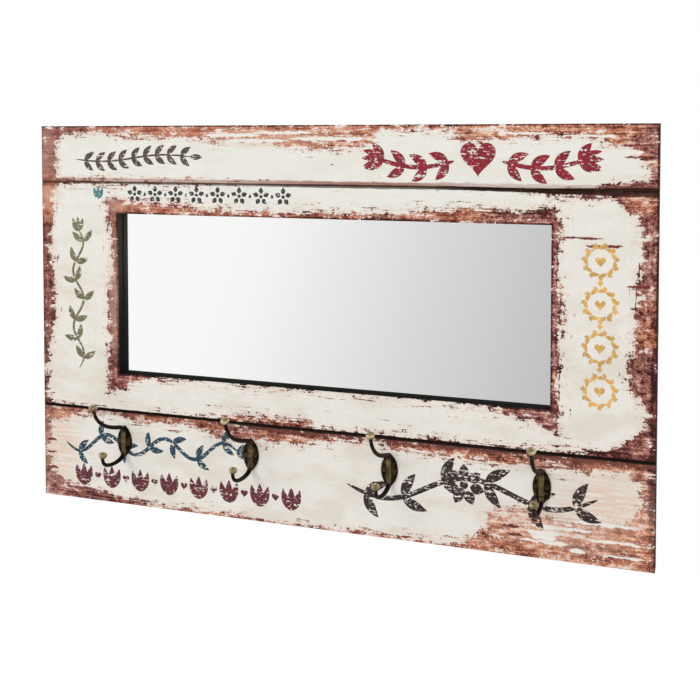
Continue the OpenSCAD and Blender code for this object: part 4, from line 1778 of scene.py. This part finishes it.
@dataclass(frozen=True)
class BackHardware:
    """What is seen from behind: backing, turn buttons with their screws, hangers and pads."""

    buttons: int = 6
    pads: int = 4
    zinc: PlatedMetal = PlatedMetal("zinc_plate")
    bright: PlatedMetal = PlatedMetal(
        "bright_screw", tint(226, 227, 228), tint(188, 190, 192), roughness=0.22
    )

    def build(self) -> None:
        """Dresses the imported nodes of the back."""
        dress_node("backing_panel", Hardboard())
        for number in range(1, self.buttons + 1):
            dress_node(f"turn_button_{number}", self.zinc)
            dress_node(f"turn_screw_{number}", self.bright)
        for side in ("left", "right"):
            dress_node(f"hanger_{side}", self.zinc)
            dress_node(f"hanger_{side}_screws", self.bright)
        for number in range(1, self.pads + 1):
            dress_node(f"wall_pad_{number}", Rubber())


@dataclass(frozen=True)
class PaleFloor(Finish):
    """A pale matt floor that looks white to the camera and keeps a soft shadow."""

    name: str = "pale_floor"
    pale: Colour = (0.85, 0.85, 0.84, 1.0)
    glow: float = 1.05
    glow_share: float = 0.88

    def dress(self, graph: Graph) -> None:
        """Mixes a matt shader with a white glow that only camera rays see.

        Args:
            graph: The material's graph.
        """
        matt = graph.node("ShaderNodeBsdfDiffuse", None, {"Color": self.pale})
        glow = graph.node("ShaderNodeEmission", None, {"Color": WHITE, "Strength": self.glow})
        share = graph.node("ShaderNodeLightPath", out="Is Camera Ray") * self.glow_share
        graph.end(graph.node("ShaderNodeMixShader", None, {0: share, 1: matt, 2: glow}))


@dataclass
class Studio:
    """Floor, lamps, surroundings and the photograph's camera, in metres and degrees."""

    floor_height: float = -1.5
    floor_half: float = 2.2
    lamp_target: Place = (0.0, 0.0, -0.2)
    camera_place: Place = (0.46756, -1.22195, 0.03232)
    camera_yaw: float = 19.533
    camera_pitch: float = -2.307
    lens: float = 54.37
    lens_shift: float = -0.24
    daylight: Colour = (0.55, 0.55, 0.55, 1.0)
    overhead: Colour = (0.1, 0.1, 0.1, 1.0)

    def build(self) -> None:
        """Sets up the studio."""
        self.lay_floor()
        self.hang_lamps()
        self.surround()
        self.aim_camera()

    def lay_floor(self) -> None:
        """Lays a plain floor far below the part, as under a thing that hangs on a wall."""
        size, height = self.floor_half, self.floor_height
        corners = [(x * size, y * size, height) for x, y in ((-1, -1), (1, -1), (1, 1), (-1, 1))]
        mesh = bpy.data.meshes.new("floor")
        mesh.from_pydata(corners, [], [(0, 1, 2, 3)])
        mesh.materials.append(PaleFloor().material())
        floor = add_object("floor", mesh)

    def hang_lamps(self) -> None:
        """Hangs a large soft lamp at the upper left, a weaker one at the right and one behind."""
        self.lamp("key_lamp", (-1.6, -2.6, 1.5), 2.0, 52.0)
        self.lamp("fill_lamp", (2.2, -2.2, 0.6), 1.6, 20.0)
        self.lamp("back_lamp", (0.4, 2.6, 1.6), 2.0, 50.0)

    def lamp(self, name: str, place: Place, size: float, power: float) -> None:
        """Hangs one square lamp that faces the part and stays out of reflections.

        Args:
            name: Name of the lamp.
            place: Where it hangs.
            size: Length of its sides.
            power: Its power in watts.
        """
        data = bpy.data.lights.new(name, "AREA")
        data.size = size
        data.energy = power
        made = add_object(name, data)
        aim = np.array(self.lamp_target) - np.array(place)
        made.location = place
        made.rotation_euler = (
            math.atan2(math.hypot(aim[0], aim[1]), -aim[2]),
            0.0,
            math.atan2(aim[1], aim[0]) - math.pi / 2,
        )
        made.visible_glossy = False

    def surround(self) -> None:
        """Surrounds the part with white for the camera and a graded room for reflections.

        Reflections see a room that is white well to either side, light grey straight in front
        and darker overhead, so that glass and metal keep their form.
        """
        world = bpy.data.worlds.new("room")
        world.use_nodes = True
        bpy.context.scene.world = world
        graph = Graph(world.node_tree)
        x, _, z = graph.split(graph.node("ShaderNodeTexCoord", out="Generated"))
        lean = z.largest(-0.3).smallest(0.0) * 0.25 + 0.024
        shades = (
            (0.0, 0.43, 0.435), (0.153, 0.61, 0.615), (0.25, 0.73, 0.735),
            (0.33, 0.85, 0.852), (0.40, 0.96, 0.96), (0.45, 1.0, 1.0),
        )
        stops = [(place, (grey, grey, blue, 1.0)) for place, grey, blue in shades]
        room = graph.ramp(abs(x) + lean, stops)
        room = graph.blend(z.rise(0.1, 0.75, 0.85), room, self.overhead)
        camera = graph.node("ShaderNodeLightPath", out="Is Camera Ray")
        colour = graph.blend(camera.sibling("Is Glossy Ray"), self.daylight, room)
        seen = camera.largest(camera.sibling("Is Transmission Ray"))
        colour = graph.blend(seen, colour, WHITE)
        shader = graph.node("ShaderNodeBackground", None, {"Color": colour, "Strength": 1.0})
        graph.end(shader, "ShaderNodeOutputWorld")

    def aim_camera(self) -> None:
        """Puts the camera where the photograph was taken from."""
        data = bpy.data.cameras.new("camera")
        data.sensor_width = 36.0
        data.lens = self.lens
        data.shift_y = self.lens_shift
        data.clip_start, data.clip_end = 0.01, 50.0
        camera = add_object("camera", data)
        camera.location = self.camera_place
        pitch, yaw = math.radians(90 + self.camera_pitch), math.radians(self.camera_yaw)
        camera.rotation_euler = (pitch, 0.0, yaw)
        bpy.context.scene.camera = camera


def main() -> None:
    """Builds the studio and dresses the part, piece by piece."""
    logging.basicConfig(level=logging.INFO, format="%(name)s: %(message)s")
    bpy.context.scene.view_settings.view_transform = "Standard"
    Studio().build()
    dress_node("board", WornPaint())
    dress_node("mirror_glass", SilveredGlass())
    Ornaments(FACE).build()
    for number in range(1, HOOK_COUNT + 1):
        CastHook(number).build()
    BackHardware().build()


if __name__ == "__main__":
    main()
